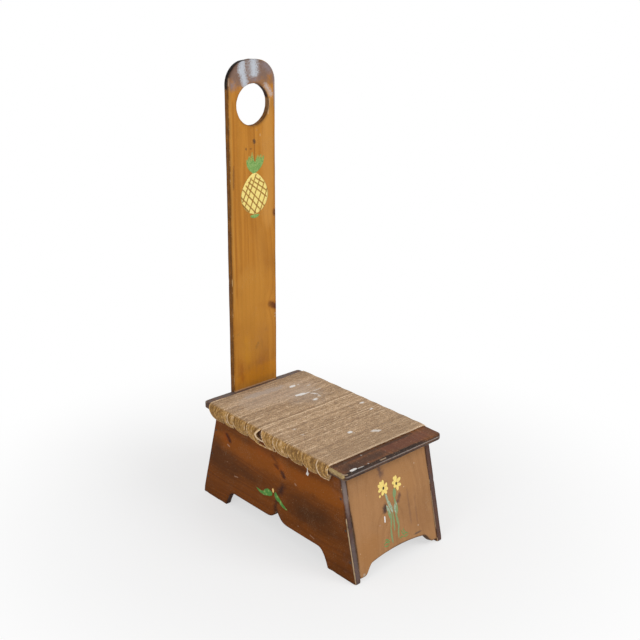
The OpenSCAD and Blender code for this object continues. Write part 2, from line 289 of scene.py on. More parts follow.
def board(name, outline, thick, origin, axes, ease=EDGE_EASE, band=EDGE_BAND, chips=(), hole=None, seed=1):
    """A sawn board: its outline, anticlockwise in the board's own plane, is carried round the
    edge as rings. The ease wanders along the edge and grows at each chip, given as (across,
    along, width, depth). A hole, given as (across, along, half width, half height), is ringed
    the same way. Three attributes come with it: edge is 1 on the rounding and falls to 0 beside
    it, sawn is 1 on the thickness and 0 on the faces, and chip is 1 where an edge was knocked."""
    loops = [even_steps(outline, EDGE_PACE)]
    if hole:
        angle = -np.linspace(0, 2 * np.pi, HOLE_POINTS, endpoint=False)
        loops.append(np.array(hole[:2]) + np.stack([hole[2] * np.cos(angle), hole[3] * np.sin(angle)], 1))
    flat, marks, faces, face_rings = [], [], [], []
    first = 0
    for number, loop in enumerate(loops):
        count = len(loop)
        along = np.arange(count) / count
        here = ease * (1 + 0.3 * wander(along, seed + number))
        knocked = np.zeros(count)
        for across, up_to, width, depth in chips:
            away = np.exp(-(np.hypot(loop[:, 0] - across, loop[:, 1] - up_to) / width) ** 2)
            here, knocked = here + depth * away, np.maximum(knocked, away)
        here = np.clip(here, 0.4 * ease, thick * 0.4)[:, None]
        side = inward(loop)
        uneven = loop + side * EDGE_WAVER * (1 + wander(along, seed + 9 + number))[:, None]
        rings = rings_over(here, thick, ease + band)
        for inset, depth, rim, cut in rings:
            flat.append(np.hstack([moved_in(uneven, side, inset), depth]))
            marks.append(np.stack([np.full(count, rim), np.full(count, cut), knocked], 1))
        i = np.arange(count)
        for ring in range(len(rings) - 1):
            low, high = first + ring * count, first + (ring + 1) * count
            faces += np.stack([low + i, low + (i + 1) % count, high + (i + 1) % count, high + i], 1).tolist()
        face_rings.append((first + i, high + i))
        first = high + count
    flat, marks = np.vstack(flat), np.vstack(marks)
    for ends in zip(*face_rings):
        faces += two_halves(flat, *ends, hole) if hole else [ends[0].tolist()]
    points = np.array(origin) + flat @ np.array(axes, float)
    made = put_mesh(name, points.tolist(), faces)
    for column, label in enumerate(("edge", "sawn", "chip")):
        made.data.attributes.new(label, "FLOAT", "POINT").data.foreach_set("value", marks[:, column].copy())
    return made


def vector(tree, operation, *values):
    """One step of arithmetic on places, giving a place."""
    return add(tree, "VectorMath", dict(enumerate(values)), operation=operation).outputs[0]


def tint(tree, share, first, second):
    """The first colour with a share of the second laid over it."""
    return add(tree, "Mix", {0: share, 6: first, 7: second}, data_type="RGBA").outputs[2]


def laid_over(tree, colour, paint, mask, share):
    """The colour with a share of paint over it where the mask is."""
    return tint(tree, calc(tree, "MULTIPLY", mask, share), colour, paint)


def bumps(tree, height, strength, distance):
    """The normal of small bumps; distance is how high they stand, in metres."""
    return add(tree, "Bump", {"Height": height, "Strength": strength, "Distance": distance}).outputs[0]


def shader_group(name, places, values, results):
    """A shared shader effect: its tree, the sockets that come in and those that go out. places
    are the inputs that are vectors; values and results are numbers."""
    tree = bpy.data.node_groups.new(name, "ShaderNodeTree")
    for labels, way, kind in ((places, "INPUT", "NodeSocketVector"), (values, "INPUT", "NodeSocketFloat"),
                              (results, "OUTPUT", "NodeSocketFloat")):
        for label in labels:
            tree.interface.new_socket(label, in_out=way, socket_type=kind)
    return tree, tree.nodes.new("NodeGroupInput").outputs, tree.nodes.new("NodeGroupOutput").inputs


def use(tree, group, sockets):
    """One use of a shared effect, with its own values; gives its outputs."""
    made = tree.nodes.new("ShaderNodeGroup")
    made.node_tree = group
    feed(tree, made.inputs, sockets)
    return made.outputs


def noise(tree, place, scale=1.0, detail=3.0, rough=0.55):
    """Smooth noise from 0 to 1 at a place; scale is one number, or one for each direction."""
    if isinstance(scale, tuple):
        place, scale = vector(tree, "MULTIPLY", place, scale), 1.0
    made = add(tree, "TexNoise", {"Vector": place, "Scale": scale, "Detail": detail, "Roughness": rough})
    return made.outputs["Fac"]


def grain_group():
    """Growth rings: the distance from a heart line that lies under the board and sinks along it,
    bent by slow noise and pushed aside by knots, is cut into ring widths. Late is uneven bands of
    them with a thin line at the end of each, Fibre is fine streaks and Cloud is broad patches."""
    tree, given, gives = shader_group("pine_grain", ("Place",), ("Swirl", "Sink", "Ring"),
                                      ("Late", "Fibre", "Cloud"))
    place = given["Place"]
    parts = add(tree, "SeparateXYZ", {0: place}).outputs
    slow = noise(tree, place, (9, 1.8, 9), 2.0)
    across = calc(tree, "MULTIPLY_ADD", calc(tree, "SUBTRACT", slow, 0.5), 0.06, parts["X"])
    below = calc(tree, "MULTIPLY_ADD", parts["Z"], 0.5, 0.016)
    below = calc(tree, "MULTIPLY_ADD", parts["Y"], given["Sink"], below)
    squares = calc(tree, "ADD", calc(tree, "MULTIPLY", across, across), calc(tree, "MULTIPLY", below, below))
    heart = calc(tree, "SQRT", squares)
    pushed = calc(tree, "MULTIPLY_ADD", noise(tree, place, (150, 8, 150), 2.0), 0.9, given["Swirl"])
    phase = calc(tree, "ADD", calc(tree, "DIVIDE", heart, given["Ring"]), pushed)
    ring_place = add(tree, "CombineXYZ", {0: phase, 1: calc(tree, "MULTIPLY", parts["Y"], 2.0)}).outputs[0]
    bands = step(tree, noise(tree, ring_place, 0.8, 3.0, 0.6), 0.34, 0.68)
    saw = calc(tree, "FRACT", phase)
    line = calc(tree, "MULTIPLY", calc(tree, "POWER", saw, 3.0), step(tree, saw, 1.0, 0.86))
    late = calc(tree, "MULTIPLY_ADD", line, 0.22, calc(tree, "MULTIPLY", bands, 0.65))
    fibre = noise(tree, place, (800, 12, 800), 4.0, 0.7)
    streaks = noise(tree, place, (170, 3, 170), 3.0, 0.6)
    fibre = calc(tree, "MULTIPLY_ADD", fibre, 0.45, calc(tree, "MULTIPLY", streaks, 0.55))
    cloud = noise(tree, place, (16, 6, 16), 4.0, 0.6)
    feed(tree, gives, {"Late": late, "Fibre": fibre, "Cloud": cloud})
    return tree


def mark_group():
    """A mark along a line from start to end, with an uneven border: a knot, stain, bloom or speck.
    Half holds one over the half width in each direction. Swell is its wide surroundings, where
    the growth rings are pushed aside: e to the power of the distance's square times -0.16."""
    tree, given, gives = shader_group("ragged_mark", ("Place", "Start", "End", "Half"),
                                      ("Ragged", "Fine", "Full"), ("Mask", "Swell"))
    start, half = given["Start"], given["Half"]
    away, span = (vector(tree, "MULTIPLY", vector(tree, "SUBTRACT", given[label], start), half)
                  for label in ("Place", "End"))
    dots = [add(tree, "VectorMath", {0: arrow, 1: span}, operation="DOT_PRODUCT").outputs["Value"]
            for arrow in (away, span)]
    along = calc(tree, "DIVIDE", *dots, clamp=True)
    nearest = add(tree, "VectorMath", {0: span, "Scale": along}, operation="SCALE").outputs[0]
    far = length(tree, vector(tree, "SUBTRACT", away, nearest))
    border = calc(tree, "SUBTRACT", noise(tree, given["Place"], given["Fine"], 4.0, 0.6), 0.5)
    rough_far = calc(tree, "MULTIPLY_ADD", border, given["Ragged"], far)
    spread = calc(tree, "MULTIPLY", calc(tree, "MULTIPLY", far, far), -0.16)
    feed(tree, gives, {"Mask": step(tree, rough_far, 1.0, given["Full"]),
                       "Swell": calc(tree, "POWER", 2.718, spread)})
    return tree


def wear_group():
    """Wear, as masks: Bare is rubbed and knocked stretches of the edges, Dark the dirt beside
    them, Scratch fine scratches, and Fleck small flecks of old paint that lie in groups."""
    tree, given, gives = shader_group("wear", ("Place",), ("Edge", "Chip", "Rubbed"),
                                      ("Bare", "Dark", "Scratch", "Fleck"))
    place, edge = given["Place"], given["Edge"]
    stretches = calc(tree, "MULTIPLY_ADD", given["Rubbed"], 0.3, noise(tree, place, 38.0, 5.0, 0.7))
    stretches = calc(tree, "MULTIPLY_ADD", given["Chip"], 0.5, stretches)
    bare = calc(tree, "MULTIPLY", step(tree, edge, 0.86, 0.99), step(tree, stretches, 0.64, 0.72))
    dirty = step(tree, noise(tree, place, 22.0, 3.0), 0.25, 0.62)
    dark = calc(tree, "MULTIPLY", step(tree, edge, 0.0, 1.0), dirty)
    cells = add(tree, "TexVoronoi", {"Vector": vector(tree, "MULTIPLY", place, (30, 60, 95))},
                feature="DISTANCE_TO_EDGE").outputs["Distance"]
    scratched = step(tree, noise(tree, place, 19.0, 2.0), 0.56, 0.68)
    scratch = calc(tree, "MULTIPLY", step(tree, cells, 0.03, 0.0), scratched)
    dots = add(tree, "TexVoronoi", {"Vector": place, "Scale": 120.0}).outputs
    chance = add(tree, "SeparateXYZ", {0: dots["Color"]}).outputs
    few = calc(tree, "MULTIPLY", step(tree, chance["X"], 0.900, 0.905), step(tree, chance["Y"], 0.1, 1.0))
    few = calc(tree, "MULTIPLY", few, step(tree, noise(tree, place, 24.0, 2.0), 0.44, 0.62))
    fleck = calc(tree, "MULTIPLY", step(tree, dots["Distance"], 0.16, 0.07), few)
    feed(tree, gives, {"Bare": bare, "Dark": dark, "Scratch": scratch, "Fleck": fleck})
    return tree


pine_grain, ragged_mark, wear = grain_group(), mark_group(), wear_group()


def mark(start, half, colour, share, end=None, ragged=0.7, fine=60.0, full=0.35, swirl=0.0):
    """A mark's values: where its line starts, its half widths in metres, its colour and strength,
    where its line ends, how uneven its border is and how fine that goes, the part of its half
    width within which it is at full strength, and how many ring widths the grain swells by it."""
    sockets = dict(Start=start, End=end or start, Half=tuple(1 / h for h in half),
                   Ragged=ragged, Fine=fine, Full=full)
    return sockets, colour, share, swirl


def marks_on(axis, level, deep, rows, slope=0.0):
    """The marks on one face. axis is the object's axis through the face, level the face's place
    on it, deep how far the marks reach, and slope how far the face leans for each metre up. Each
    row is a mark's values in their order, with its places and half widths given on the face."""
    def placed(place, through=None):
        return (*place[:axis], level + slope * place[1] if through is None else through, *place[axis:])

    return [mark(placed(start), placed(half, deep), colour, share, placed(end or start), *manner)
            for start, half, colour, share, end, *manner in rows]


def mark_over(tree, place, colour, marks):
    """The colour with each mark laid over it in turn."""
    for sockets, paint, share, _ in marks:
        mask = use(tree, ragged_mark, dict(sockets, Place=place))["Mask"]
        colour = laid_over(tree, colour, paint, mask, share)
    return colour


def pine(name, order, light, dark, stain, marks=(), centre=(0, 0, 0), lean=0.0, sink=0.06, ring=0.0035,
         cloudy=0.5, rubbed=0.3, gloss=0.40, black=0.5, flecks=0.8, sawn=SAWN_GREY, sawn_share=0.85,
         bare=BARE_PINE, grain_share=(0.05, 1.0), shine=0.08, rim_marks=(), salt=0.22):
    """Stained and varnished pine. order names the object axes that lie across, along and through
    the board. black is the share of dirt beside the edges, sawn the colour of the thickness,
    rim_marks are the marks that lie over that colour, and salt is the share of fine dust."""
    material, tree, shader = new_material(name, specular=shine)
    place = object_place(tree)
    flat = add(tree, "Mapping", {"Vector": place, "Location": centre, "Rotation": (lean, 0, 0)}).outputs[0]
    parts = add(tree, "SeparateXYZ", {0: flat}).outputs
    own = add(tree, "CombineXYZ", {i: parts[a.upper()] for i, a in enumerate(order)}).outputs[0]
    swirl = 0.0
    for sockets, _, _, rings in marks:
        if rings:
            swell = use(tree, ragged_mark, dict(sockets, Place=place))["Swell"]
            swirl = calc(tree, "MULTIPLY_ADD", swell, rings, swirl)
    grain = use(tree, pine_grain, {"Place": own, "Swirl": swirl, "Sink": sink, "Ring": ring})
    rim, cut, chip = (add(tree, "Attribute", attribute_name=label).outputs["Fac"]
                      for label in ("edge", "sawn", "chip"))
    worn = use(tree, wear, {"Place": place, "Edge": rim, "Chip": chip, "Rubbed": rubbed})
    streak = calc(tree, "MULTIPLY_ADD", grain["Fibre"], 0.55, calc(tree, "MULTIPLY", grain["Late"], 0.5))
    colour = tint(tree, step(tree, streak, *grain_share), light, dark)
    colour = laid_over(tree, colour, stain, step(tree, grain["Cloud"], 0.42, 0.72), cloudy)
    colour = mark_over(tree, place, colour, marks)
    uneven = step(tree, noise(tree, place, 55.0, 4.0, 0.65), 0.2, 0.75, 1.0, 0.6)
    sawn_face = calc(tree, "MULTIPLY", step(tree, cut, 0.35, 0.9), uneven)
    colour = laid_over(tree, colour, sawn, sawn_face, sawn_share)
    colour = mark_over(tree, place, colour, rim_marks)
    dust = noise(tree, place, 460.0, 2.0, 0.7)
    for paint, mask, share in (
            (KNOT_BLACK, worn["Dark"], black), (bare, worn["Bare"], 0.85), (bare, worn["Scratch"], 0.3),
            (DUST_CREAM, step(tree, dust, 0.60, 0.74), salt),
            (KNOT_BLACK, step(tree, dust, 0.40, 0.26), salt), (FLECK_CREAM, worn["Fleck"], flecks)):
        colour = laid_over(tree, colour, paint, mask, share)
    dull = calc(tree, "ADD", calc(tree, "MULTIPLY", worn["Bare"], 0.3),
                calc(tree, "MULTIPLY", grain["Cloud"], 0.22))
    height = calc(tree, "MULTIPLY_ADD", grain["Late"], 0.5, calc(tree, "MULTIPLY", grain["Fibre"], 0.6))
    height = calc(tree, "SUBTRACT", height, calc(tree, "MULTIPLY", worn["Scratch"], 0.8))
    height = calc(tree, "MULTIPLY_ADD", noise(tree, place, 30.0, 2.0), 1.5, height)
    feed(tree, shader.inputs, {"Base Color": colour, "Roughness": calc(tree, "ADD", dull, gloss),
                               "Normal": bumps(tree, height, 0.35, 0.0005)})
    return material


def side_outline():
    """A long side as (length, height): the notch falls as its height times the cube of 1 - t, and
    each cove from the straight lower edge to a foot as 1 less t to the power 2.2. The ends follow
    the slopes of the front and rear."""
    t = np.linspace(0, 1, CURVE_POINTS)
    foot = BASE_HALF - FOOT_LENGTH
    halves = []
    for to in (1, -1):
        notch = np.stack([NOTCH_SHIFT + to * NOTCH_HALF * t, APRON_HEIGHT + NOTCH_HEIGHT * (1 - t) ** 3], 1)
        cove = np.stack([to * (foot - COVE_LENGTH * (1 - t)), APRON_HEIGHT * (1 - t ** 2.2)], 1)
        halves.append(np.vstack([notch, cove]))
    ends = soft_corners([(foot, 0), (BASE_HALF, 0), (BASE_HALF - REAR_SLOPE * SIDE_HEIGHT, SIDE_HEIGHT),
                         (-BASE_HALF + FRONT_SLOPE * SIDE_HEIGHT, SIDE_HEIGHT), (-BASE_HALF, 0), (-foot, 0)],
                        (0.0005, 0.004, 0.002, 0.002, 0.004, 0.0005))
    return np.vstack([halves[0][:-1], ends, halves[1][::-1][1:-1]])


side_chips = (
    (0.222, 0.004, 0.005, 0.0016), (0.212, 0.0, 0.005, 0.0012), (-0.222, 0.001, 0.005, 0.0014),
    (-0.213, 0.050, 0.020, 0.0003), (-0.204, 0.085, 0.014, 0.0003), (-0.1955, 0.117, 0.004, 0.0010),
    (-0.165, 0.0, 0.006, 0.0009), (0.165, 0.001, 0.005, 0.0009))
# A row of marks gives where the mark starts, its half widths, colour and strength, where it
# ends (None for a round mark), how uneven and fine its border is, its full part and its swell.
left_marks = marks_on(0, side_low[0], 0.1, (
    ((0.150, 0.142), (0.060, 0.026), SIDE_GLOW, 0.75, (-0.180, 0.150), 0.9, 30),
    ((0.150, 0.092), (0.075, 0.045), SIDE_STAIN, 0.55, None, 1.0, 24),
    ((0.175, 0.130), (0.030, 0.020), SIDE_STAIN, 0.45, None, 1.0, 40),
    ((0.070, 0.095), (0.080, 0.022), SIDE_STAIN, 0.50, None, 1.0, 30),
    ((-0.120, 0.088), (0.075, 0.042), SIDE_STAIN, 0.55, (-0.085, 0.088), 0.9, 24),
    ((-0.118, 0.092), (0.048, 0.022), SIDE_SMOKE, 0.42, (-0.088, 0.084), 0.9, 40, 0.0),
    ((-0.020, 0.150), (0.030, 0.024), (0.340, 0.078, 0.004, 1), 0.60, None, 1.6, 90, -0.2),
    ((-0.075, 0.150), (0.040, 0.024), (0.290, 0.070, 0.004, 1), 0.50, None, 1.8, 70, -0.2),
    ((0.030, 0.158), (0.050, 0.016), (0.310, 0.072, 0.004, 1), 0.50, None, 1.8, 80, -0.2),
    ((0.142, 0.150), (0.016, 0.018), (0.310, 0.058, 0.004, 1), 0.55, None, 1.5, 90, -0.2),
    ((0.1400, 0.157), (0.0095, 0.0060), KNOT_RED, 0.90, (0.131, 0.146), 1.3, 200, 0.0),
    ((-0.0235, 0.1430), (0.0100, 0.0060), KNOT_RED, 0.92, (-0.0300, 0.1350), 1.3, 200, 0.0),
    ((-0.0070, 0.1500), (0.0095, 0.0050), KNOT_RED, 0.80, (-0.0110, 0.1470), 1.3, 200, 0.0),
    ((0.0040, 0.1660), (0.0085, 0.0050), KNOT_RED, 0.45, (-0.0130, 0.1520), 1.6, 160, -0.2),
    ((-0.0265, 0.1135), (0.0125, 0.0110), (0.030, 0.009, 0.008, 1), 0.85,
     (-0.0170, 0.098), 1.3, 90, -0.1, 2.0),
    ((-0.0110, 0.092), (0.0060, 0.0080), (0.032, 0.010, 0.006, 1), 0.60, (-0.004, 0.062), 1.0, 120, -0.1),
    ((-0.0040, 0.0570), (0.0120, 0.0130), (0.026, 0.008, 0.005, 1), 0.70, None, 1.3, 90, -0.1),
    ((0.139, 0.1365), (0.0022, 0.0020), SCUFF_PINK, 0.80, (0.134, 0.1350), 0.6, 500, 0.6),
    ((0.119, 0.0755), (0.0024, 0.0016), SCUFF_PINK, 0.65, (0.110, 0.0770), 0.6, 500, 0.5),
    ((0.142, 0.098), (0.0022, 0.0020), SCUFF_PINK, 0.40, None, 0.8, 500),
    ((-0.060, 0.134), (0.0022, 0.0020), SCUFF_PINK, 0.70, (-0.063, 0.132), 0.8, 500),
    ((-0.069, 0.050), (0.0020, 0.0020), SCUFF_PINK, 0.70, None, 0.8, 500),
    ((-0.102, 0.046), (0.0022, 0.0016), SCUFF_PINK, 0.55, (-0.112, 0.044), 1.2, 500)))
left_rim = [mark(*row) for row in (
    ((-0.106, -0.214, 0.040), (0.0075, 0.05, 0.060), (0.165, 0.135, 0.130, 1), 0.45, None, 1.2, 90),
    ((-0.106, -0.182, 0.170), (0.0075, 0.05, 0.060), (0.235, 0.185, 0.165, 1), 0.80, None, 0.8, 60),
    ((-0.1125, -0.2213, 0.008), (0.0019, 0.0019, 0.003), BARE_PINE, 0.90,
     (-0.1125, -0.1955, 0.117), 1.5, 170, 0.6),
    ((-0.1125, -0.216, 0.0), (0.0030, 0.012, 0.0012), BARE_PINE, 0.70, (-0.1125, -0.170, 0.0), 1.5, 170))]
right_marks = marks_on(0, -side_low[0], 0.1, (
    ((0.060, 0.150), (0.120, 0.026), SIDE_GLOW, 0.55, None, 0.9, 30),
    ((-0.120, 0.070), (0.090, 0.040), SIDE_STAIN, 0.70, None, 0.9, 24),
    ((0.090, 0.088), (0.012, 0.009), KNOT_BLACK, 0.80, None, 0.7, 140, 0.35, 2.5),
    ((-0.070, 0.150), (0.006, 0.005), KNOT_BLACK, 0.80, (-0.052, 0.138), 0.6, 200, 0.35, 1.5),
    ((0.020, 0.060), (0.002, 0.002), SCUFF_PINK, 0.60, (0.034, 0.064), 0.6, 500)))
for name, node, through, seed, marks, centre, rim in (
        ("left_side", "left_side_panel", 1, 3, left_marks, (0, 0.3, -0.1), left_rim),
        ("right_side", "right_side_panel", -1, 21, right_marks, (0, -0.5, -0.16), ())):
    piece = board(name, side_outline(), BOARD_THICK - FACE_SINK, (through * (side_low[0] + FACE_SINK), 0, 0),
                  ((0, 1, 0), (0, 0, 1), (through, 0, 0)), chips=side_chips, seed=seed)
    piece.data.materials.append(pine(name + "_pine", "zyx", SIDE_LIGHT, SIDE_DARK, SIDE_STAIN, marks, centre,
                                     sink=0.05, cloudy=0.55, rim_marks=rim))
    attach(piece, "root")
    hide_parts(node)


# Front and rear. Two leaning pine boards let in between the long sides, each
# with a shallow arch between short feet. The front is a lighter tan brown,
# the rear has the dark stain of the sides. Nails through the sides hold them.
ARCH_HEIGHT, SHOULDER_HEIGHT, END_FOOT_HEIGHT, END_FOOT_LENGTH = 0.032, 0.026, 0.008, 0.012
SHOULDER_SHARE, END_BAND, END_CORNER = 0.74, 0.003, 0.001
END_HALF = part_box("front_panel")[1][0]
FRONT_LIGHT, FRONT_DARK = (0.440, 0.222, 0.088, 1), (0.290, 0.135, 0.048, 1)
FRONT_STAIN, PLUM_BROWN = (0.220, 0.098, 0.034, 1), (0.090, 0.050, 0.048, 1)
FRONT_LEAN, REAR_LEAN = np.arctan(FRONT_SLOPE), np.arctan(REAR_SLOPE)


def end_outline(top, lean):
    """An end board as (width, height up the slope): the arch falls from its crown as the square of
    the distance to its shoulders, and from there to the feet as an eased step."""
    t = np.linspace(0, 1, CURVE_POINTS)
    arch = END_HALF - END_FOOT_LENGTH
    shoulder = SHOULDER_SHARE * arch
    crown = np.stack([shoulder * t, ARCH_HEIGHT - (ARCH_HEIGHT - SHOULDER_HEIGHT) * t * t], 1)
    drop = np.stack([shoulder + (arch - shoulder) * t,
                     SHOULDER_HEIGHT - (SHOULDER_HEIGHT - END_FOOT_HEIGHT) * eased(t)], 1)
    half = np.vstack([crown, drop[1:]])
    ends = soft_corners([(END_HALF, END_FOOT_HEIGHT), (END_HALF, top), (-END_HALF, top),
                         (-END_HALF, END_FOOT_HEIGHT)], END_CORNER)
    return np.vstack([half, ends, (half * (-1, 1))[::-1][:-1]]) / (1, np.cos(lean))


front_marks = marks_on(1, -BASE_HALF, 0.05, (
    ((0.030, 0.150), (0.045, 0.060), (0.440, 0.215, 0.075, 1), 0.55, None, 0.6, 25),
    ((-0.070, 0.110), (0.030, 0.080), (0.430, 0.215, 0.085, 1), 0.45, None, 0.6, 25),
    ((-0.070, 0.045), (0.045, 0.045), (0.370, 0.165, 0.048, 1), 0.60, None, 0.8, 40),
    ((0.060, 0.060), (0.040, 0.030), (0.330, 0.155, 0.058, 1), 0.50, None, 0.8, 40),
    ((-0.0185, 0.168), (0.010, 0.012), PLUM_BROWN, 0.80, (-0.0215, 0.190), 1.8, 150, -0.2, 1.0),
    # A dark smear along the top of the front, just under the seat's overhang: painted shade.
    ((0.000, 0.1925), (0.012, 0.0065), PLUM_BROWN, 0.80, (0.075, 0.1950), 1.6, 110, -0.2),
    ((-0.0205, 0.104), (0.0085, 0.009), (0.040, 0.024, 0.024, 1), 0.88,
     (-0.0185, 0.111), 1.2, 160, 0.1, 2.0),
    ((0.0140, 0.110), (0.0065, 0.006), (0.110, 0.050, 0.040, 1), 0.80,
     (0.0200, 0.120), 1.3, 170, -0.1, 1.5),
    ((0.040, 0.118), (0.004, 0.012), PLUM_BROWN, 0.30, (0.040, 0.066), 1.2, 90, -0.2),
    ((0.056, 0.100), (0.003, 0.012), PLUM_BROWN, 0.25, (0.055, 0.060), 1.2, 90, -0.2),
    ((0.052, 0.037), (0.014, 0.0025), (0.060, 0.050, 0.050, 1), 0.65, None, 0.7, 160),
    ((-0.0232, 0.0925), (0.0018, 0.0028), CHALK_WHITE, 1.0, (-0.0238, 0.0855), 0.2, 300, 0.7),
    ((-0.0372, 0.0825), (0.0024, 0.0024), SCUFF_PINK, 0.80, None, 0.4, 300),
    ((0.056, 0.050), (0.0020, 0.0020), (0.520, 0.400, 0.300, 1), 0.90, None, 0.4, 300),
    ((-0.090, 0.012), (0.004, 0.004), (0.500, 0.420, 0.330, 1), 0.60, None, 0.9, 300)), slope=FRONT_SLOPE)
front_pine = pine("front_pine", "xzy", FRONT_LIGHT, FRONT_DARK, FRONT_STAIN, front_marks,
                  centre=(0.01, 0.2, -0.25), lean=-FRONT_LEAN, sink=0.10, ring=0.0060, cloudy=0.35,
                  gloss=0.42, black=0.75, sawn=(0.050, 0.034, 0.030, 1), grain_share=(-0.1, 1.2), shine=0.2)
rear_marks = marks_on(1, BASE_HALF, 0.05, (
    ((0.030, 0.120), (0.060, 0.050), SIDE_GLOW, 0.45, None, 0.8, 25),
    ((-0.045, 0.100), (0.009, 0.012), KNOT_BLACK, 0.80, None, 0.8, 140, 0.35, 2.5),
    ((0.055, 0.060), (0.030, 0.022), SIDE_STAIN, 0.70, None, 0.9, 30)), slope=-REAR_SLOPE)
rear_pine = pine("rear_pine", "xzy", SIDE_LIGHT, SIDE_DARK, SIDE_STAIN, rear_marks,
                 centre=(-0.02, -0.2, -0.2), lean=REAR_LEAN, sink=0.08, ring=0.005)
for name, node, lean, facing, top, material in (
        ("front", "front_panel", FRONT_LEAN, 1, SEAT_UNDER, front_pine),
        ("rear", "rear_panel", REAR_LEAN, -1, SIDE_HEIGHT, rear_pine)):
    slope = ((1, 0, 0), (0, facing * np.sin(lean), np.cos(lean)), (0, facing * np.cos(lean), -np.sin(lean)))
    piece = board(name, end_outline(top, lean), BOARD_THICK, (0, -facing * BASE_HALF, 0), slope,
                  band=END_BAND, seed=40 + facing)
    piece.data.materials.append(material)
    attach(piece, "root")
    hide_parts(node)


# Glue blocks and wedge. Plain offcuts of pine, never stained, glued into the
# four inner corners and behind the plank where nobody sees them.
raw_pine = pine("raw_pine", "xzy", (0.52, 0.35, 0.17, 1), (0.36, 0.21, 0.09, 1), (0.30, 0.19, 0.10, 1),
                sink=0.03, rubbed=0.0, gloss=0.62, black=0.0, flecks=0.0, sawn_share=0.0)
for node in ("wedge_block", "front_left_block", "front_right_block", "rear_left_block", "rear_right_block"):
    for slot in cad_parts[node].material_slots:
        slot.material = raw_pine


# Back plank. A tall narrow pine board, amber brown under old varnish, its top
# rounded and its hand hole cut with a saw. It stands in a notch of the seat
# board, and its lower end is bevelled to lie against the leaning rear.
plank_low, plank_high = (np.array(v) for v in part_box("back_plank"))
plank_face = plank_low[1]
PLANK_MIDDLE = (plank_low[0] + plank_high[0]) / 2
PLANK_HALF = (plank_high[0] - plank_low[0]) / 2
TOP_ROUND, TOP_CROWN = 0.040, 0.003
HOLE_HALF, HOLE_SHIFT, HOLE_DROP = (0.0377, 0.0383), 0.0021, 0.0818
PLANK_LIGHT, PLANK_DARK = (0.590, 0.252, 0.036, 1), (0.370, 0.134, 0.014, 1)
PLANK_STAIN, PLANK_BLACK = (0.330, 0.120, 0.014, 1), (0.010, 0.007, 0.006, 1)
BLOOM, RUST_RED, SMOKE = (0.500, 0.530, 0.580, 1), (0.110, 0.020, 0.005, 1), (0.040, 0.028, 0.024, 1)
TOP_PURPLE, LILAC_GREY = (0.175, 0.118, 0.098, 1), (0.250, 0.205, 0.220, 1)
PALE_LINE = (0.560, 0.380, 0.260, 1)
RIM_MIDDLE = plank_face + 0.0072
PLANK_EASE, PLANK_CHIPS = 0.0016, ((-0.05, 0.44, 0.006, 0.001), (PLANK_MIDDLE + 0.03, 0.853, 0.01, 0.0008))


def plank_outline():
    """The plank as (width, height): quarter rounds at the top, lifted towards the middle by
    half the crown times the fourth power of the sine."""
    angle = np.radians(np.linspace(0, 90, 20))
    side = plank_high[2] - TOP_CROWN - TOP_ROUND
    lift = TOP_CROWN * np.sin(angle) ** 4 / 2
    corner = np.stack([PLANK_HALF - TOP_ROUND + TOP_ROUND * np.cos(angle),
                       side + TOP_ROUND * np.sin(angle) + lift], 1)
    half = np.vstack([[(PLANK_HALF, plank_low[2])], corner])
    return np.vstack([half, [(0, plank_high[2])], (half * (-1, 1))[::-1]]) + (PLANK_MIDDLE, 0)


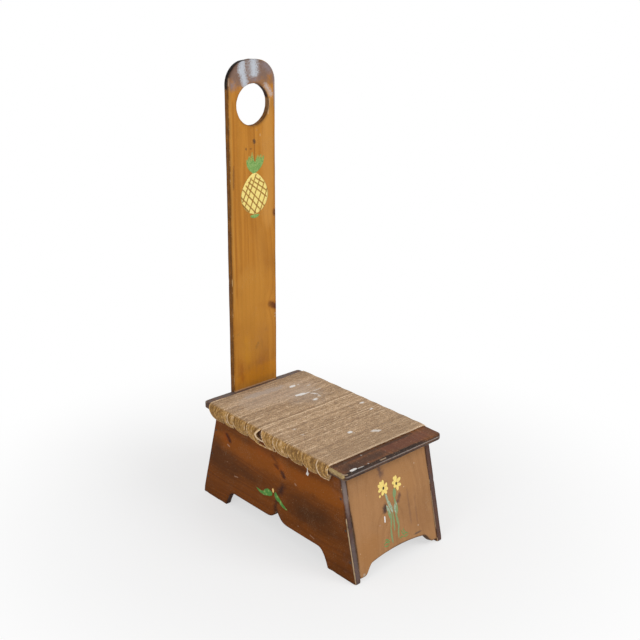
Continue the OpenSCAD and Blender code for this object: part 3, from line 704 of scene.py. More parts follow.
plank_marks = marks_on(1, plank_face, 0.1, (
    ((-0.030, 0.848), (0.050, 0.056), TOP_PURPLE, 0.90, (0.036, 0.848), 0.9, 90),
    ((-0.002, 0.830), (0.060, 0.040), (0.260, 0.165, 0.130, 1), 0.60, None, 2.4, 280, -0.2),
    ((0.0447, 0.821), (0.009, 0.011), (0.420, 0.165, 0.028, 1), 0.80, None, 1.6, 240, -0.1),
    ((-0.0420, 0.810), (0.014, 0.014), LILAC_GREY, 0.75, None, 2.0, 330, -0.2),
    ((0.034, 0.843), (0.014, 0.014), LILAC_GREY, 0.75, (0.046, 0.832), 2.0, 330, -0.2),
    ((-0.019, 0.856), (0.0125, 0.012), BLOOM, 1.0, (-0.0205, 0.836), 1.8, 330, 0.15),
    ((-0.0195, 0.836), (0.0110, 0.010), BLOOM, 1.0, (-0.0125, 0.810), 1.8, 330, 0.15),
    ((0.0070, 0.853), (0.0150, 0.010), BLOOM, 1.0, (0.0085, 0.828), 1.8, 330, 0.15),
    ((-0.0060, 0.850), (0.0090, 0.018), (0.330, 0.300, 0.300, 1), 0.70, (-0.0050, 0.830), 2.2, 330, -0.2),
    ((0.0100, 0.817), (0.0180, 0.006), LILAC_GREY, 0.80, None, 2.0, 360, -0.2),
    ((0.0360, 0.804), (0.0085, 0.008), BLOOM, 0.90, (0.0470, 0.788), 2.0, 360, -0.2),
    # A lilac grey line down the right edge near the top: painted shade on the arris.
    ((0.0545, 0.836), (0.0028, 0.010), LILAC_GREY, 0.70, (0.0560, 0.770), 1.2, 120),
    # A thin pale line down the left edge near the top: painted highlight on the arris.
    ((-0.0490, 0.838), (0.0016, 0.003), (0.660, 0.450, 0.300, 1), 0.90, (-0.0508, 0.812), 1.4, 240),
    # A pale line along the right rim of the hand hole: painted highlight.
    ((0.0436, 0.779), (0.0024, 0.003), (0.740, 0.520, 0.320, 1), 0.85, (0.0408, 0.753), 1.2, 200),
    ((-0.048, 0.790), (0.0032, 0.030), (0.560, 0.280, 0.060, 1), 0.45, (-0.047, 0.400), 0.5, 30),
    ((-0.0415, 0.770), (0.0030, 0.020), PLANK_STAIN, 0.50, (-0.0405, 0.420), 0.7, 30),
    ((-0.0430, 0.655), (0.0030, 0.012), SMOKE, 0.40, (-0.0440, 0.628), 1.3, 160),
    ((0.0065, 0.733), (0.0012, 0.004), RUST_RED, 0.50, (0.0075, 0.664), 0.5, 90),
    ((0.0270, 0.730), (0.0010, 0.004), RUST_RED, 0.25, (0.0275, 0.670), 0.5, 90),
    ((0.0060, 0.706), (0.0045, 0.0045), SMOKE, 0.75, (0.0070, 0.703), 1.1, 200),
    ((-0.0130, 0.6925), (0.0026, 0.0040), SMOKE, 0.60, None, 1.0, 240),
    ((-0.0020, 0.6915), (0.0040, 0.0022), SMOKE, 0.45, None, 1.0, 240),
    ((0.0130, 0.725), (0.0020, 0.0030), SCUFF_PINK, 0.35, None, 1.0, 240),
    ((0.0210, 0.715), (0.0022, 0.0040), (0.600, 0.360, 0.160, 1), 0.50, None, 1.0, 240),
    ((0.0545, 0.562), (0.0080, 0.0100), RUST_RED, 0.85, None, 0.7, 140, 0.35, 1.5),
    ((0.0300, 0.3780), (0.030, 0.012), (0.420, 0.140, 0.016, 1), 0.55, (0.0500, 0.372), 0.9, 70),
    ((0.0415, 0.3765), (0.0085, 0.0085), RUST_RED, 0.95, (0.0560, 0.3680), 0.9, 160, 0.35, 2.0),
    ((0.0110, 0.3000), (0.0050, 0.0060), SMOKE, 0.55, (0.0060, 0.2930), 1.6, 220, -0.1),
    ((0.0200, 0.3020), (0.0040, 0.0080), SMOKE, 0.40, (0.0200, 0.2930), 1.6, 220, -0.1),
    ((0.0300, 0.3260), (0.0050, 0.0060), SMOKE, 0.30, None, 1.6, 220, -0.1),
    ((-0.0390, 0.3300), (0.0070, 0.0060), SMOKE, 0.28, None, 1.6, 220, -0.1),
    ((-0.0300, 0.7300), (0.0060, 0.060), (0.350, 0.140, 0.018, 1), 0.40, (-0.0300, 0.3400), 1.4, 60, -0.1),
    ((0.0320, 0.5200), (0.0070, 0.050), (0.420, 0.160, 0.018, 1), 0.35, (0.0280, 0.4000), 1.4, 60, -0.1),
    ((-0.0050, 0.2350), (0.060, 0.020), (0.600, 0.235, 0.016, 1), 0.60, (0.0400, 0.2410), 1.0, 50),
    ((-0.0190, 0.3100), (0.0120, 0.022), (0.590, 0.255, 0.014, 1), 0.65, (-0.0170, 0.2750), 1.4, 90, -0.1),
    ((0.0200, 0.3250), (0.0240, 0.030), (0.400, 0.155, 0.046, 1), 0.55, (0.0180, 0.2580), 1.8, 110, -0.3),
    ((-0.0330, 0.2640), (0.0120, 0.022), (0.330, 0.096, 0.012, 1), 0.55, (-0.0300, 0.2350), 1.6, 120, -0.1),
    ((0.0545, 0.3536), (0.0014, 0.0014), CHALK_WHITE, 0.9, None, 0.6, 300, 0.3),
    ((0.0542, 0.3474), (0.0020, 0.0020), (0.700, 0.480, 0.260, 1), 0.90, None, 0.4, 300),
    ((0.0096, 0.3006), (0.0028, 0.0028), SMOKE, 0.45, None, 0.9, 200),
    ((0.0200, 0.500), (0.020, 0.090), (0.520, 0.230, 0.040, 1), 0.35, None, 0.7, 20),
    ((0.0380, 0.780), (0.018, 0.040), (0.620, 0.300, 0.070, 1), 0.45, (0.0380, 0.560), 0.8, 25),
    ((0.0000, 0.420), (0.060, 0.060), (0.600, 0.270, 0.040, 1), 0.50, (0.0000, 0.300), 0.7, 25)))
plank_marks.append(mark((-0.0520, plank_face, 0.2120), (0.0030, 0.0050, 0.0018), PALE_LINE, 0.70,
                        (0.0520, plank_face, 0.2120), 1.5, 300, 0.1))
plank_rim = [mark(*row) for row in (
    ((-0.0530, RIM_MIDDLE, 0.812), (0.010, 0.0060, 0.012), PLANK_BLACK, 0.96,
     (-0.0500, RIM_MIDDLE, 0.830), 0.8, 90, 0.5),
    ((-0.0470, RIM_MIDDLE, 0.836), (0.010, 0.0060, 0.010), PLANK_BLACK, 0.96,
     (-0.0150, RIM_MIDDLE, 0.856), 0.4, 90, 0.8),
    # The upper right of the hand hole's wall, near black: painted shade.
    ((0.0300, RIM_MIDDLE, 0.802), (0.008, 0.0060, 0.008), (0.020, 0.005, 0.005, 1), 0.92,
     (0.0410, RIM_MIDDLE, 0.788), 0.6, 90, 0.6))]
plank_pine = pine("plank_pine", "xzy", PLANK_LIGHT, PLANK_DARK, PLANK_STAIN, plank_marks,
                  centre=(0.012, -0.19, -0.9), sink=0.035, ring=0.0060,
                  sawn=(0.105, 0.034, 0.004, 1), sawn_share=0.97, bare=(0.560, 0.350, 0.150, 1),
                  grain_share=(-0.1, 1.2), shine=0.11, rim_marks=plank_rim)
piece = board("plank", plank_outline(), plank_high[1] - plank_face - 2 * FACE_SINK, (0, plank_face, 0),
              ((1, 0, 0), (0, 0, 1), (0, 1, 0)), ease=PLANK_EASE, chips=PLANK_CHIPS, seed=61,
              hole=(PLANK_MIDDLE + HOLE_SHIFT, plank_high[2] - HOLE_DROP, *HOLE_HALF))
bevel = bmesh.new()
bevel.from_mesh(piece.data)
cut = bmesh.ops.bisect_plane(bevel, geom=bevel.verts[:] + bevel.edges[:] + bevel.faces[:],
                             plane_co=(0, BASE_HALF, 0), plane_no=(0, -1, -REAR_SLOPE), clear_outer=True)
bmesh.ops.holes_fill(bevel, edges=[e for e in cut["geom_cut"] if isinstance(e, bmesh.types.BMEdge)])
bmesh.ops.recalc_face_normals(bevel, faces=bevel.faces)
bevel.to_mesh(piece.data)
bevel.free()
piece.data.materials.append(plank_pine)
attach(piece, "root")
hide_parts("back_plank")


# Seat board. A thin board, almost black with old varnish where it shows in
# front of and behind the cord, its corners rounded and its edges rubbed. It is
# nailed to the front and screwed to the plank, which stands in its rear notch.
SEAT_CORNER, SEAT_EASE, SEAT_BAND, NOTCH_ROOM = 0.009, 0.0028, 0.004, 0.0003
SEAT_LIGHT, SEAT_DARK = (0.270, 0.095, 0.026, 1), (0.090, 0.032, 0.010, 1)
SEAT_STAIN, RAW_YELLOW = (0.026, 0.013, 0.010, 1), (0.600, 0.430, 0.190, 1)
# The grey of the line along the seat's front face: partly rubbed wear, partly painted highlight.
RUBBED_HIGHLIGHT_GREY = (0.400, 0.345, 0.310, 1)
SEAT_TOP = seat_high[2]


def seat_outline():
    """The seat board as (width, length), with round corners and the plank's notch at the rear."""
    x, y = seat_high[0], seat_high[1]
    left, right = PLANK_MIDDLE - PLANK_HALF - NOTCH_ROOM, PLANK_MIDDLE + PLANK_HALF + NOTCH_ROOM
    return soft_corners([(-x, -y), (x, -y), (x, y), (right, y), (right, plank_face), (left, plank_face),
                         (left, y), (-x, y)],
                        (SEAT_CORNER, SEAT_CORNER, SEAT_CORNER, 0.001, 0.0005, 0.0005, 0.001, SEAT_CORNER))


seat_marks = [mark(*row) for row in (
    ((0.0, 0.192, SEAT_TOP), (0.2, 0.016, 0.010), (0.120, 0.098, 0.090, 1), 0.85, None, 1.2, 110),
    ((-0.1100, -0.1995, SEAT_TOP), (0.03, 0.0055, 0.006), (0.016, 0.012, 0.010, 1), 0.85,
     (0.060, -0.1995, SEAT_TOP), 1.4, 110),
    ((0.020, -0.178, SEAT_TOP), (0.045, 0.020, 0.010), (0.150, 0.045, 0.024, 1), 0.60,
     (0.075, -0.182, SEAT_TOP), 0.9, 60),
    ((-0.040, -0.182, SEAT_TOP), (0.040, 0.014, 0.010), SEAT_STAIN, 0.60,
     (-0.080, -0.185, SEAT_TOP), 0.9, 80),
    ((-0.110, -0.164, SEAT_TOP), (0.030, 0.006, 0.010), SEAT_STAIN, 0.60,
     (0.060, -0.164, SEAT_TOP), 0.9, 80),
    ((-0.1010, -0.1945, SEAT_TOP), (0.0050, 0.0034, 0.004), CHALK_WHITE, 1.0, (-0.0930, -0.1940, 0.2110),
     0.9, 300, 0.7),
    ((-0.0860, -0.1960, 0.2110), (0.0035, 0.0016, 0.003), CHALK_WHITE, 0.8,
     (-0.0760, -0.1965, 0.2105), 1.4, 400),
    ((-0.0620, -0.1950, 0.2110), (0.0028, 0.0016, 0.003), CHALK_WHITE, 0.7, None, 1.0, 400),
    ((-0.0500, -0.1650, SEAT_TOP), (0.0022, 0.0022, 0.003), CHALK_WHITE, 0.5, None, 1.0, 400),
    ((0.1190, -0.185, 0.2080), (0.007, 0.020, 0.006), (0.190, 0.065, 0.035, 1), 0.55, None, 0.9, 90))]
seat_rim = [mark(*row) for row in (
    # A near-black band along the lower part of the front face and its lower edge: painted shade.
    ((-0.1200, -0.2005, 0.2000), (0.1, 0.0030, 0.0030), (0.014, 0.011, 0.010, 1), 0.80,
     (0.120, -0.2005, 0.2000), 0.6, 80),
    # Along the middle of the front face, a thin grey line: partly rubbed wear, partly painted highlight.
    ((-0.1200, -0.2005, 0.2056), (0.1, 0.0030, 0.0012), RUBBED_HIGHLIGHT_GREY, 0.80,
     (0.120, -0.2005, 0.2062), 1.8, 170, 0.2),
    # A broader grey band over the left part of that line: painted highlight.
    ((-0.1200, -0.2005, 0.2056), (0.1, 0.0030, 0.0020), (0.150, 0.125, 0.115, 1), 0.55,
     (-0.060, -0.2005, 0.2060), 1.4, 120),
    ((-0.1235, -0.164, 0.2088), (0.0046, 0.006, 0.0062), RAW_YELLOW, 0.95,
     (-0.1232, -0.195, 0.2074), 1.2, 260, 0.5),
    ((-0.1235, -0.164, 0.2060), (0.0060, 0.006, 0.0060), (0.220, 0.120, 0.045, 1), 0.75,
     (-0.1230, -0.195, 0.2050), 2.2, 300, -0.2))]
seat_pine = pine("seat_pine", "xyz", SEAT_LIGHT, SEAT_DARK, SEAT_STAIN, seat_marks, centre=(0.3, 0.02, 0),
                 sink=0.05, ring=0.0045, rubbed=0.05, gloss=0.26, black=0.35,
                 sawn=(0.035, 0.024, 0.020, 1), sawn_share=0.8, bare=(0.380, 0.270, 0.180, 1), shine=0.2,
                 rim_marks=seat_rim, salt=0.50)
piece = board("seat", seat_outline(), SEAT_TOP - SEAT_UNDER, (0, 0, SEAT_TOP),
              ((1, 0, 0), (0, 1, 0), (0, 0, -1)), ease=SEAT_EASE, band=SEAT_BAND, seed=80,
              chips=((-0.122, -0.197, 0.007, 0.0010), (-0.03, -0.2, 0.01, 0.0002)))
piece.data.materials.append(seat_pine)
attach(piece, "root")
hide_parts("seat_board")


# Wound seat. One long fibre cord, about 3 mm thick, wound 112 times round the
# seat board. It was pulled tight in bundles, so at the long edges each
# bundle's turns swing forward and crowd together like the rim of a shell.
CORD_RADIUS, PLUMP, UNDER_THIN = 0.0015, 1.02, 0.7
LEFT_BUNDLES = (10, 13, 13, 13, 12, 2, 11, 14, 10, 14)
RIGHT_BUNDLES = (10, 12, 14, 11, 13, 12, 14, 14, 12)
LOOSE_TURNS, LOOSE_BUNDLE = (61, 62), 5
TURNS = sum(LEFT_BUNDLES)
BARE_FRONT, BARE_REAR = 0.041, 0.019
CORD_ENDS = (seat_low[1] + BARE_FRONT, seat_high[1] - BARE_REAR)
PITCH = (CORD_ENDS[1] - CORD_ENDS[0]) / TURNS
CORD_TOP, CORD_UNDER = SEAT_TOP + CORD_RADIUS, SEAT_UNDER - CORD_RADIUS * 1.15
# How far the turns swing, fall and bulge at the long edges: REAR is what a bundle's rearmost
# turn has more, LOOSE what a loose turn has more, and TUCK is the way back under the board.
SWING_ANGLES = np.radians((0, 5, 10, 16, 23, 31, 40, 50, 60, 70, 80, 90))
TOP_POINTS, TUCK_POINTS, CORD_SIDES = 11, 4, 8
UNDER_SHARES = np.array((0.05, 0.12, 0.3, 0.5, 0.7, 0.88, 0.95))
LEAST_SWING, SWING_SHARE, RIGHT_STRENGTH, EARLY_PULL = 0.003, 0.95, 0.75, 0.0085
FALL, REAR_FALL = 0.0185, 0.0090
BULGE, REAR_BULGE, HUMP = 0.0002, 0.0016, 0.0011
LOOSE_SWING, LOOSE_BOW, LOOSE_FALL, LOOSE_BULGE = 0.046, 0.0060, 0.0015, 0.0052
EDGE_GAP, EDGE_ROUND, EDGE_TURN = 0.0001, 0.0050, np.radians(27)
TUCK_IN, TUCK_REACH, TUCK_CROWD = 0.0048, 0.0075, 0.28
TURN_WAVER, TOP_WAVER, LIFT_WAVER = 0.00020, 0.00026, 0.00022
CROSS_SHIFT, CROSS_LIFT = 0.0030, 0.0016


def bundle_share(bundles):
    """For each turn, its place in its bundle, 0 for the foremost turn and 1 for the rearmost, and
    the bundle's width."""
    return (np.concatenate([np.linspace(0, 1, count) for count in bundles]),
            np.concatenate([np.full(count, count * PITCH) for count in bundles]))


def edge_run(side, share, width, loose, strength, lead=0.0):
    """Each turn's run over one long edge, from the top to the underside. It falls as the sine of
    an angle going from 0 to 90 degrees and swings forward as 1 less the cosine, as far as its
    bundle is wide for the rearmost turn, so that a bundle fans out like a shell. On the way it
    rounds the board's edge and bulges, and then it comes up into the gap over the long side. A
    loose turn hangs lower and swings later, and lead is how far a turn is pulled forward early."""
    share, width, loose = share[:, None], width[:, None], loose[:, None]
    lead = np.broadcast_to(lead, len(share))[:, None]
    angle = SWING_ANGLES[None, :]
    swing = strength * (LEAST_SWING + share * (SWING_SHARE * width - LEAST_SWING)) * (1 - loose)
    swing = swing + LOOSE_SWING * loose - lead
    shift = -swing * (1 - np.cos(angle)) ** (1 + 0.7 * loose)
    shift = shift + LOOSE_BOW * loose * np.sin(np.minimum(angle * 2, np.pi))
    shift = shift - lead * np.sin(np.minimum(angle * 1.6 + 0.15, np.pi / 2))
    fall = FALL + REAR_FALL * share * strength + LOOSE_FALL * loose
    z = CORD_TOP - fall * np.sin(angle)
    over = np.clip(angle / EDGE_TURN, 0, 1)
    bulge = (BULGE + REAR_BULGE * share * strength) * np.sin(angle * 2)
    bulge = bulge + HUMP * np.sin(np.pi * share) * np.cos(angle)
    bulge = bulge + LOOSE_BULGE * loose * np.sin(np.pi * (angle / angle.max()) ** 0.6)
    x = seat_high[0] + CORD_RADIUS + EDGE_GAP - EDGE_ROUND * (1 - np.sin(over * np.pi / 2)) ** 1.4 + bulge
    x = x - TUCK_IN * eased(np.clip(angle / np.radians(90) * 2.2 - 1.2, 0, 1)) * (1 - 0.2 * share)
    up_again = eased(np.linspace(0, 1, TUCK_POINTS + 1)[None, 1:])
    z = np.hstack([z, z[:, -1:] + (CORD_UNDER - z[:, -1:]) * up_again])
    x = np.hstack([x, x[:, -1:] - TUCK_REACH * np.linspace(0, 1, TUCK_POINTS + 1)[None, 1:]])
    shift = np.hstack([shift, shift[:, -1:] * (1 - 0.12 * up_again)])
    crowd = 1 - TUCK_CROWD * eased(np.clip(np.linspace(-0.2, 1.1, x.shape[1]), 0, 1))[None, :]
    return side * x, shift, z, np.broadcast_to(crowd, x.shape)


def under_run(y, left_y, right_y):
    """The underside's runs, from each turn's right edge to the next turn's left edge: straight in
    the middle, eased from where the one edge leaves it and to where the other takes it up."""
    next_left = np.roll(left_y[:, -1:], -1, 0)
    next_left[-1] = left_y[-1, -1] + PITCH
    next_y = np.vstack([y[1:], y[-1:] + PITCH])
    under = UNDER_SHARES[None, :]
    even = y + (next_y - y) * under
    leave, arrive = eased(np.clip(under / 0.2, 0, 1)), eased(np.clip((1 - under) / 0.2, 0, 1))
    return np.where(under < 0.5, right_y[:, -1:] + (even - right_y[:, -1:]) * leave,
                    next_left + (even - next_left) * arrive)


def cord_path():
    """The whole cord as points, radii and tones: for each turn the left edge upwards, the top,
    the right edge downwards and the underside, joined end to end."""
    turn = np.arange(TURNS)
    rng = np.random.default_rng(5)
    y = (CORD_ENDS[0] + PITCH * (turn + 0.5))[:, None]
    y = y + rng.normal(0, TURN_WAVER, y.shape)
    loose = np.isin(turn, LOOSE_TURNS).astype(float)
    beside_loose = (turn < LOOSE_TURNS[0]) & (turn >= LOOSE_TURNS[0] - LEFT_BUNDLES[LOOSE_BUNDLE - 1])
    left_share, left_width = bundle_share(LEFT_BUNDLES)
    left = edge_run(-1, left_share, left_width, loose, 1.0, EARLY_PULL * beside_loose * left_share ** 2)
    right = edge_run(1, *bundle_share(RIGHT_BUNDLES), loose * 0, RIGHT_STRENGTH)
    left_y, right_y = y + left[1], y + right[1]
    across = np.linspace(-1, 1, TOP_POINTS + 2)[None, 1:-1]
    top_x = across * (-left[0][:, :1])
    top_z = CORD_TOP + LIFT_WAVER * rng.normal(size=(TURNS, TOP_POINTS))
    top_y = y + TOP_WAVER * rng.normal(size=(TURNS, TOP_POINTS))
    crossing = np.sin(np.pi * np.clip(0.5 + across / 1.3, 0, 1)) * (turn == LOOSE_TURNS[1])[:, None]
    top_y = top_y - CROSS_SHIFT * crossing
    top_z = top_z + CROSS_LIFT * crossing
    under_x = right[0][:, -1:] * (1 - 2 * UNDER_SHARES[None, :])
    under_z, under_thin = np.full_like(under_x, CORD_UNDER), np.full_like(under_x, UNDER_THIN)
    xs = np.hstack([left[0][:, ::-1], top_x, right[0], under_x])
    ys = np.hstack([left_y[:, ::-1], top_y, right_y, under_run(y, left_y, right_y)])
    zs = np.hstack([left[2][:, ::-1], top_z, right[2], under_z])
    radii = np.hstack([left[3][:, ::-1], np.ones_like(top_x), right[3], under_thin])
    points = np.stack([xs, ys, zs], axis=-1).reshape(-1, 3)
    # Painted highlights: the rearmost turn of each left bundle and the loose turns are lighter on the left
    # edge, more so beside the loose turn and where they round the corner, and the foremost and second loose
    # turn are lighter over the top, right edge and underside.
    outer = np.maximum(left_share > 0.99, loose)[:, None]
    highlit_turns = ((turn == 0) | (turn == LOOSE_TURNS[1]))[:, None]
    on_edge = rng.normal(0.50, 0.20, (TURNS, 1)) + 0.42 * outer * (1 + 0.6 * beside_loose[:, None])
    on_top = rng.normal(0.52, 0.15, (TURNS, 1)) + 0.50 * highlit_turns
    column, last = np.arange(xs.shape[1]), left[0].shape[1]
    at_corner = (column >= last - 1) & (column <= last)
    tone = np.where(column < last - 1, on_edge, on_top) + 0.30 * outer * at_corner
    return points, radii.ravel() * CORD_RADIUS * PLUMP, np.clip(tone, 0, 1.2).ravel()


def tube_quads(count, sides):
    """The faces of a tube of rings, as four point numbers each: this and the next point of a
    ring, then the same two of the next ring."""
    i, k = np.meshgrid(np.arange(count - 1), np.arange(sides), indexing="ij")
    here, beside = i * sides + k, i * sides + (k + 1) % sides
    return np.stack([here, beside, beside + sides, here + sides], -1).reshape(-1, 4)


def tube(name, points, radii, sides, values):
    """A round tube along the points: each ring is the point plus the radius times the cosine of
    one direction square to the run and the sine of another. The first direction is the run's own
    turned a quarter in the plane of a turn. Its UV map is length along and share round."""
    run = np.gradient(points, axis=0)
    run /= np.linalg.norm(run, axis=1)[:, None]
    first = np.stack([-run[:, 2], np.zeros(len(run)), run[:, 0]], 1)
    first /= np.linalg.norm(first, axis=1)[:, None]
    second = np.cross(run, first)
    angle = np.linspace(0, 2 * np.pi, sides, endpoint=False)
    rings = (points[:, None, :] + radii[:, None, None] * (np.cos(angle)[None, :, None] * first[:, None, :]
             + np.sin(angle)[None, :, None] * second[:, None, :]))
    count = len(points)
    caps = [list(range(sides))[::-1], [(count - 1) * sides + k for k in range(sides)]]
    mesh = bpy.data.meshes.new(name)
    mesh.from_pydata(rings.reshape(-1, 3).tolist(), [], tube_quads(count, sides).tolist() + caps)
    run_length = np.concatenate([[0], np.cumsum(np.linalg.norm(np.diff(points, axis=0), axis=1))])
    i, k = np.meshgrid(np.arange(count - 1), np.arange(sides), indexing="ij")
    u = np.stack([run_length[i], run_length[i], run_length[i + 1], run_length[i + 1]], -1).reshape(-1)
    v = (np.stack([k, k + 1, k + 1, k], -1) / sides).reshape(-1)
    uv = np.zeros((len(u) + 2 * sides, 2))
    uv[:len(u), 0], uv[:len(u), 1] = u, v
    mesh.uv_layers.new(name="lay").data.foreach_set("uv", uv.ravel())
    mesh.attributes.new("tone", "FLOAT", "POINT").data.foreach_set("value", np.repeat(values, sides))
    mesh.polygons.foreach_set("use_smooth", np.ones(len(mesh.polygons), bool))
    made = bpy.data.objects.new(name, mesh)
    bpy.context.scene.collection.objects.link(made)
    return made


CORD_DARK, CORD_LIGHT = (0.245, 0.148, 0.080, 1), (0.515, 0.340, 0.195, 1)
CORD_PALE, CORD_GREY = (0.770, 0.580, 0.390, 1), (0.430, 0.360, 0.310, 1)
CORD_GOLD, CORD_SHADE = (0.640, 0.355, 0.085, 1), (0.220, 0.105, 0.020, 1)
FLANK_START = (0.118, 0.1235)
cord_marks = marks_on(2, CORD_TOP + CORD_RADIUS, 0.02, (
    ((0.0, -0.140), (0.140, 0.040), (0.330, 0.215, 0.125, 1), 0.30, None, 0.8, 40),
    ((-0.040, 0.130), (0.080, 0.050), (0.560, 0.440, 0.350, 1), 0.35, (0.040, 0.120), 1.0, 60),
    ((-0.032, 0.150), (0.045, 0.012), CORD_GREY, 0.60, (0.010, 0.148), 1.3, 90),
    ((0.040, 0.080), (0.060, 0.050), CORD_GREY, 0.25, None, 1.3, 60),
    ((0.0502, 0.1352), (0.0090, 0.0050), CHALK_WHITE, 1.0, None, 0.9, 330, 0.7),
    ((0.0641, 0.1343), (0.0030, 0.0024), CHALK_WHITE, 0.6, None, 1.4, 380, 0.4),
    ((0.0298, 0.0950), (0.0070, 0.0046), CHALK_WHITE, 1.0, (0.0421, 0.0930), 1.1, 330, 0.7),
    ((0.0420, 0.0920), (0.0050, 0.0024), CHALK_WHITE, 0.8, (0.0560, 0.0895), 2.0, 360, 0.2),
    ((0.0640, 0.0900), (0.0040, 0.0014), CHALK_WHITE, 0.5, (0.0840, 0.0909), 2.4, 460, 0.0),
    ((0.0570, 0.0840), (0.0040, 0.0020), CHALK_WHITE, 0.8, (0.0628, 0.0757), 1.9, 380, 0.3),
    ((0.0615, 0.0700), (0.0034, 0.0022), CHALK_WHITE, 0.6, (0.0599, 0.0636), 2.0, 460, 0.1),
    ((0.0432, 0.0582), (0.0080, 0.0046), CHALK_WHITE, 1.0, None, 1.3, 380, 0.5),
    ((0.0777, 0.1178), (0.0070, 0.0030), CHALK_WHITE, 0.5, None, 1.8, 380, 0.2),
    ((-0.0200, 0.0700), (0.0040, 0.0030), CORD_PALE, 0.9, None, 0.9, 300),
    ((0.1000, -0.0136), (0.0070, 0.0034), CHALK_WHITE, 1.0, None, 1.2, 380, 0.6),
    ((0.0949, -0.0448), (0.0050, 0.0034), CHALK_WHITE, 1.0, None, 1.2, 380, 0.6),
    ((-0.0059, -0.0906), (0.0068, 0.0042), CHALK_WHITE, 1.0, None, 0.9, 380, 0.6),
    ((-0.0025, -0.0989), (0.0026, 0.0016), CHALK_WHITE, 0.5, None, 1.2, 380),
    ((0.0301, -0.1139), (0.0075, 0.0032), CHALK_WHITE, 0.75, (0.0384, -0.1212), 1.8, 380, 0.3),
    ((-0.0741, -0.0146), (0.0070, 0.0040), CHALK_WHITE, 0.5, None, 2.4, 420, 0.0),
    ((-0.0779, -0.0411), (0.0050, 0.0030), CHALK_WHITE, 0.5, None, 2.2, 420, 0.0),
    ((-0.0320, -0.0514), (0.0036, 0.0028), CORD_PALE, 0.8, None, 1.8, 420, 0.2)))
cord_fibre, tree, shader = new_material("cord_fibre", 0.78, 0.2)
place = object_place(tree)
lay = add(tree, "UVMap", uv_map="lay").outputs["UV"]
tone = add(tree, "Attribute", attribute_name="tone").outputs["Fac"]
lay_parts = add(tree, "SeparateXYZ", {0: lay}).outputs
twist = calc(tree, "ADD", calc(tree, "MULTIPLY", lay_parts["X"], 190.0),
             calc(tree, "MULTIPLY", lay_parts["Y"], 2.0))
twist = calc(tree, "SINE", calc(tree, "MULTIPLY", twist, 2 * np.pi))
strands = noise(tree, lay, (420, 9, 1), 4.0, 0.7)
runs = noise(tree, place, (90, 640, 160), 5.0, 0.78)
grit = noise(tree, place, (380, 640, 380), 2.0, 0.7)
salt = noise(tree, place, (230, 560, 230), 3.0, 0.6)
dirt = noise(tree, place, (12, 26, 30), 5.0, 0.65)
sides = step(tree, calc(tree, "ABSOLUTE", add(tree, "SeparateXYZ", {0: place}).outputs["X"]), *FLANK_START)
gritty = calc(tree, "MULTIPLY_ADD", sides, -1.2, 1.8)
toned = calc(tree, "ADD", tone, calc(tree, "MULTIPLY", calc(tree, "SUBTRACT", runs, 0.5), 3.2))
toned = calc(tree, "ADD", toned, calc(tree, "MULTIPLY", calc(tree, "SUBTRACT", grit, 0.5), gritty))
colour = tint(tree, step(tree, toned, 0.0, 0.85), CORD_DARK, CORD_LIGHT)
colour = tint(tree, step(tree, toned, 0.75, 1.15), colour, CORD_PALE)
flank = tint(tree, step(tree, toned, 0.8, 1.2), CORD_GOLD, CORD_PALE)
flank = tint(tree, step(tree, toned, 0.20, 1.0), CORD_SHADE, flank)
for paint, mask, share in (
        (CORD_PALE, step(tree, strands, 0.35, 0.75), 0.30), (CORD_SHADE, step(tree, twist, 0.2, -1.0), 0.16),
        (CORD_DARK, step(tree, dirt, 0.48, 0.74), 0.25), (flank, sides, 0.90),
        (CHALK_WHITE, step(tree, salt, 0.66, 0.74), 0.45)):
    colour = laid_over(tree, colour, paint, mask, share)
colour = mark_over(tree, place, colour, cord_marks)
height = calc(tree, "MULTIPLY_ADD", twist, 0.25, strands)
feed(tree, shader.inputs, {"Base Color": colour, "Normal": bumps(tree, height, 0.7, 0.0005),
                           "Sheen Weight": 0.15})

cord_points, cord_radii, cord_tone = cord_path()
piece = tube("wound_cord", cord_points, cord_radii, CORD_SIDES, cord_tone)
piece.data.materials.append(cord_fibre)
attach(piece, "root")
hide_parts("seat_cord")

# A drip of white paint hangs from the cord near the front: a thin neck and a drop.
DRIP_PLACE, DRIP_TOP, DRIP_FALL = (-0.1262, -0.1097), 0.1935, 0.0175
DRIP_NECK, DRIP_DROP, DRIP_MIDDLE, DRIP_SPREAD = 0.0006, 0.0022, 0.78, 0.17
DRIP_POINTS, DRIP_SIDES = 24, 12
DUSTY_WHITE = (0.620, 0.560, 0.500, 1)
white_paint, tree, shader = new_material("white_drip_paint", 0.35, 0.4)
dusty = noise(tree, object_place(tree), 700.0, 3.0)
colour = tint(tree, step(tree, dusty, 0.4, 0.7), CHALK_WHITE, DUSTY_WHITE)
feed(tree, shader.inputs, {"Base Color": colour, "Normal": bumps(tree, dusty, 0.3, 0.0002)})
share = np.linspace(0, 1, DRIP_POINTS)
drop = np.exp(-((share - DRIP_MIDDLE) / DRIP_SPREAD) ** 2) * np.sqrt(np.clip((1.001 - share) * 5, 0, 1))
drip_points = np.stack([np.full(DRIP_POINTS, DRIP_PLACE[0]), DRIP_PLACE[1] + 0.0004 * np.sin(share * 5),
                        DRIP_TOP - DRIP_FALL * share], 1)
piece = tube("paint_drip", drip_points, DRIP_NECK + DRIP_DROP * drop, DRIP_SIDES, share)
piece.data.materials.append(white_paint)
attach(piece, "root")


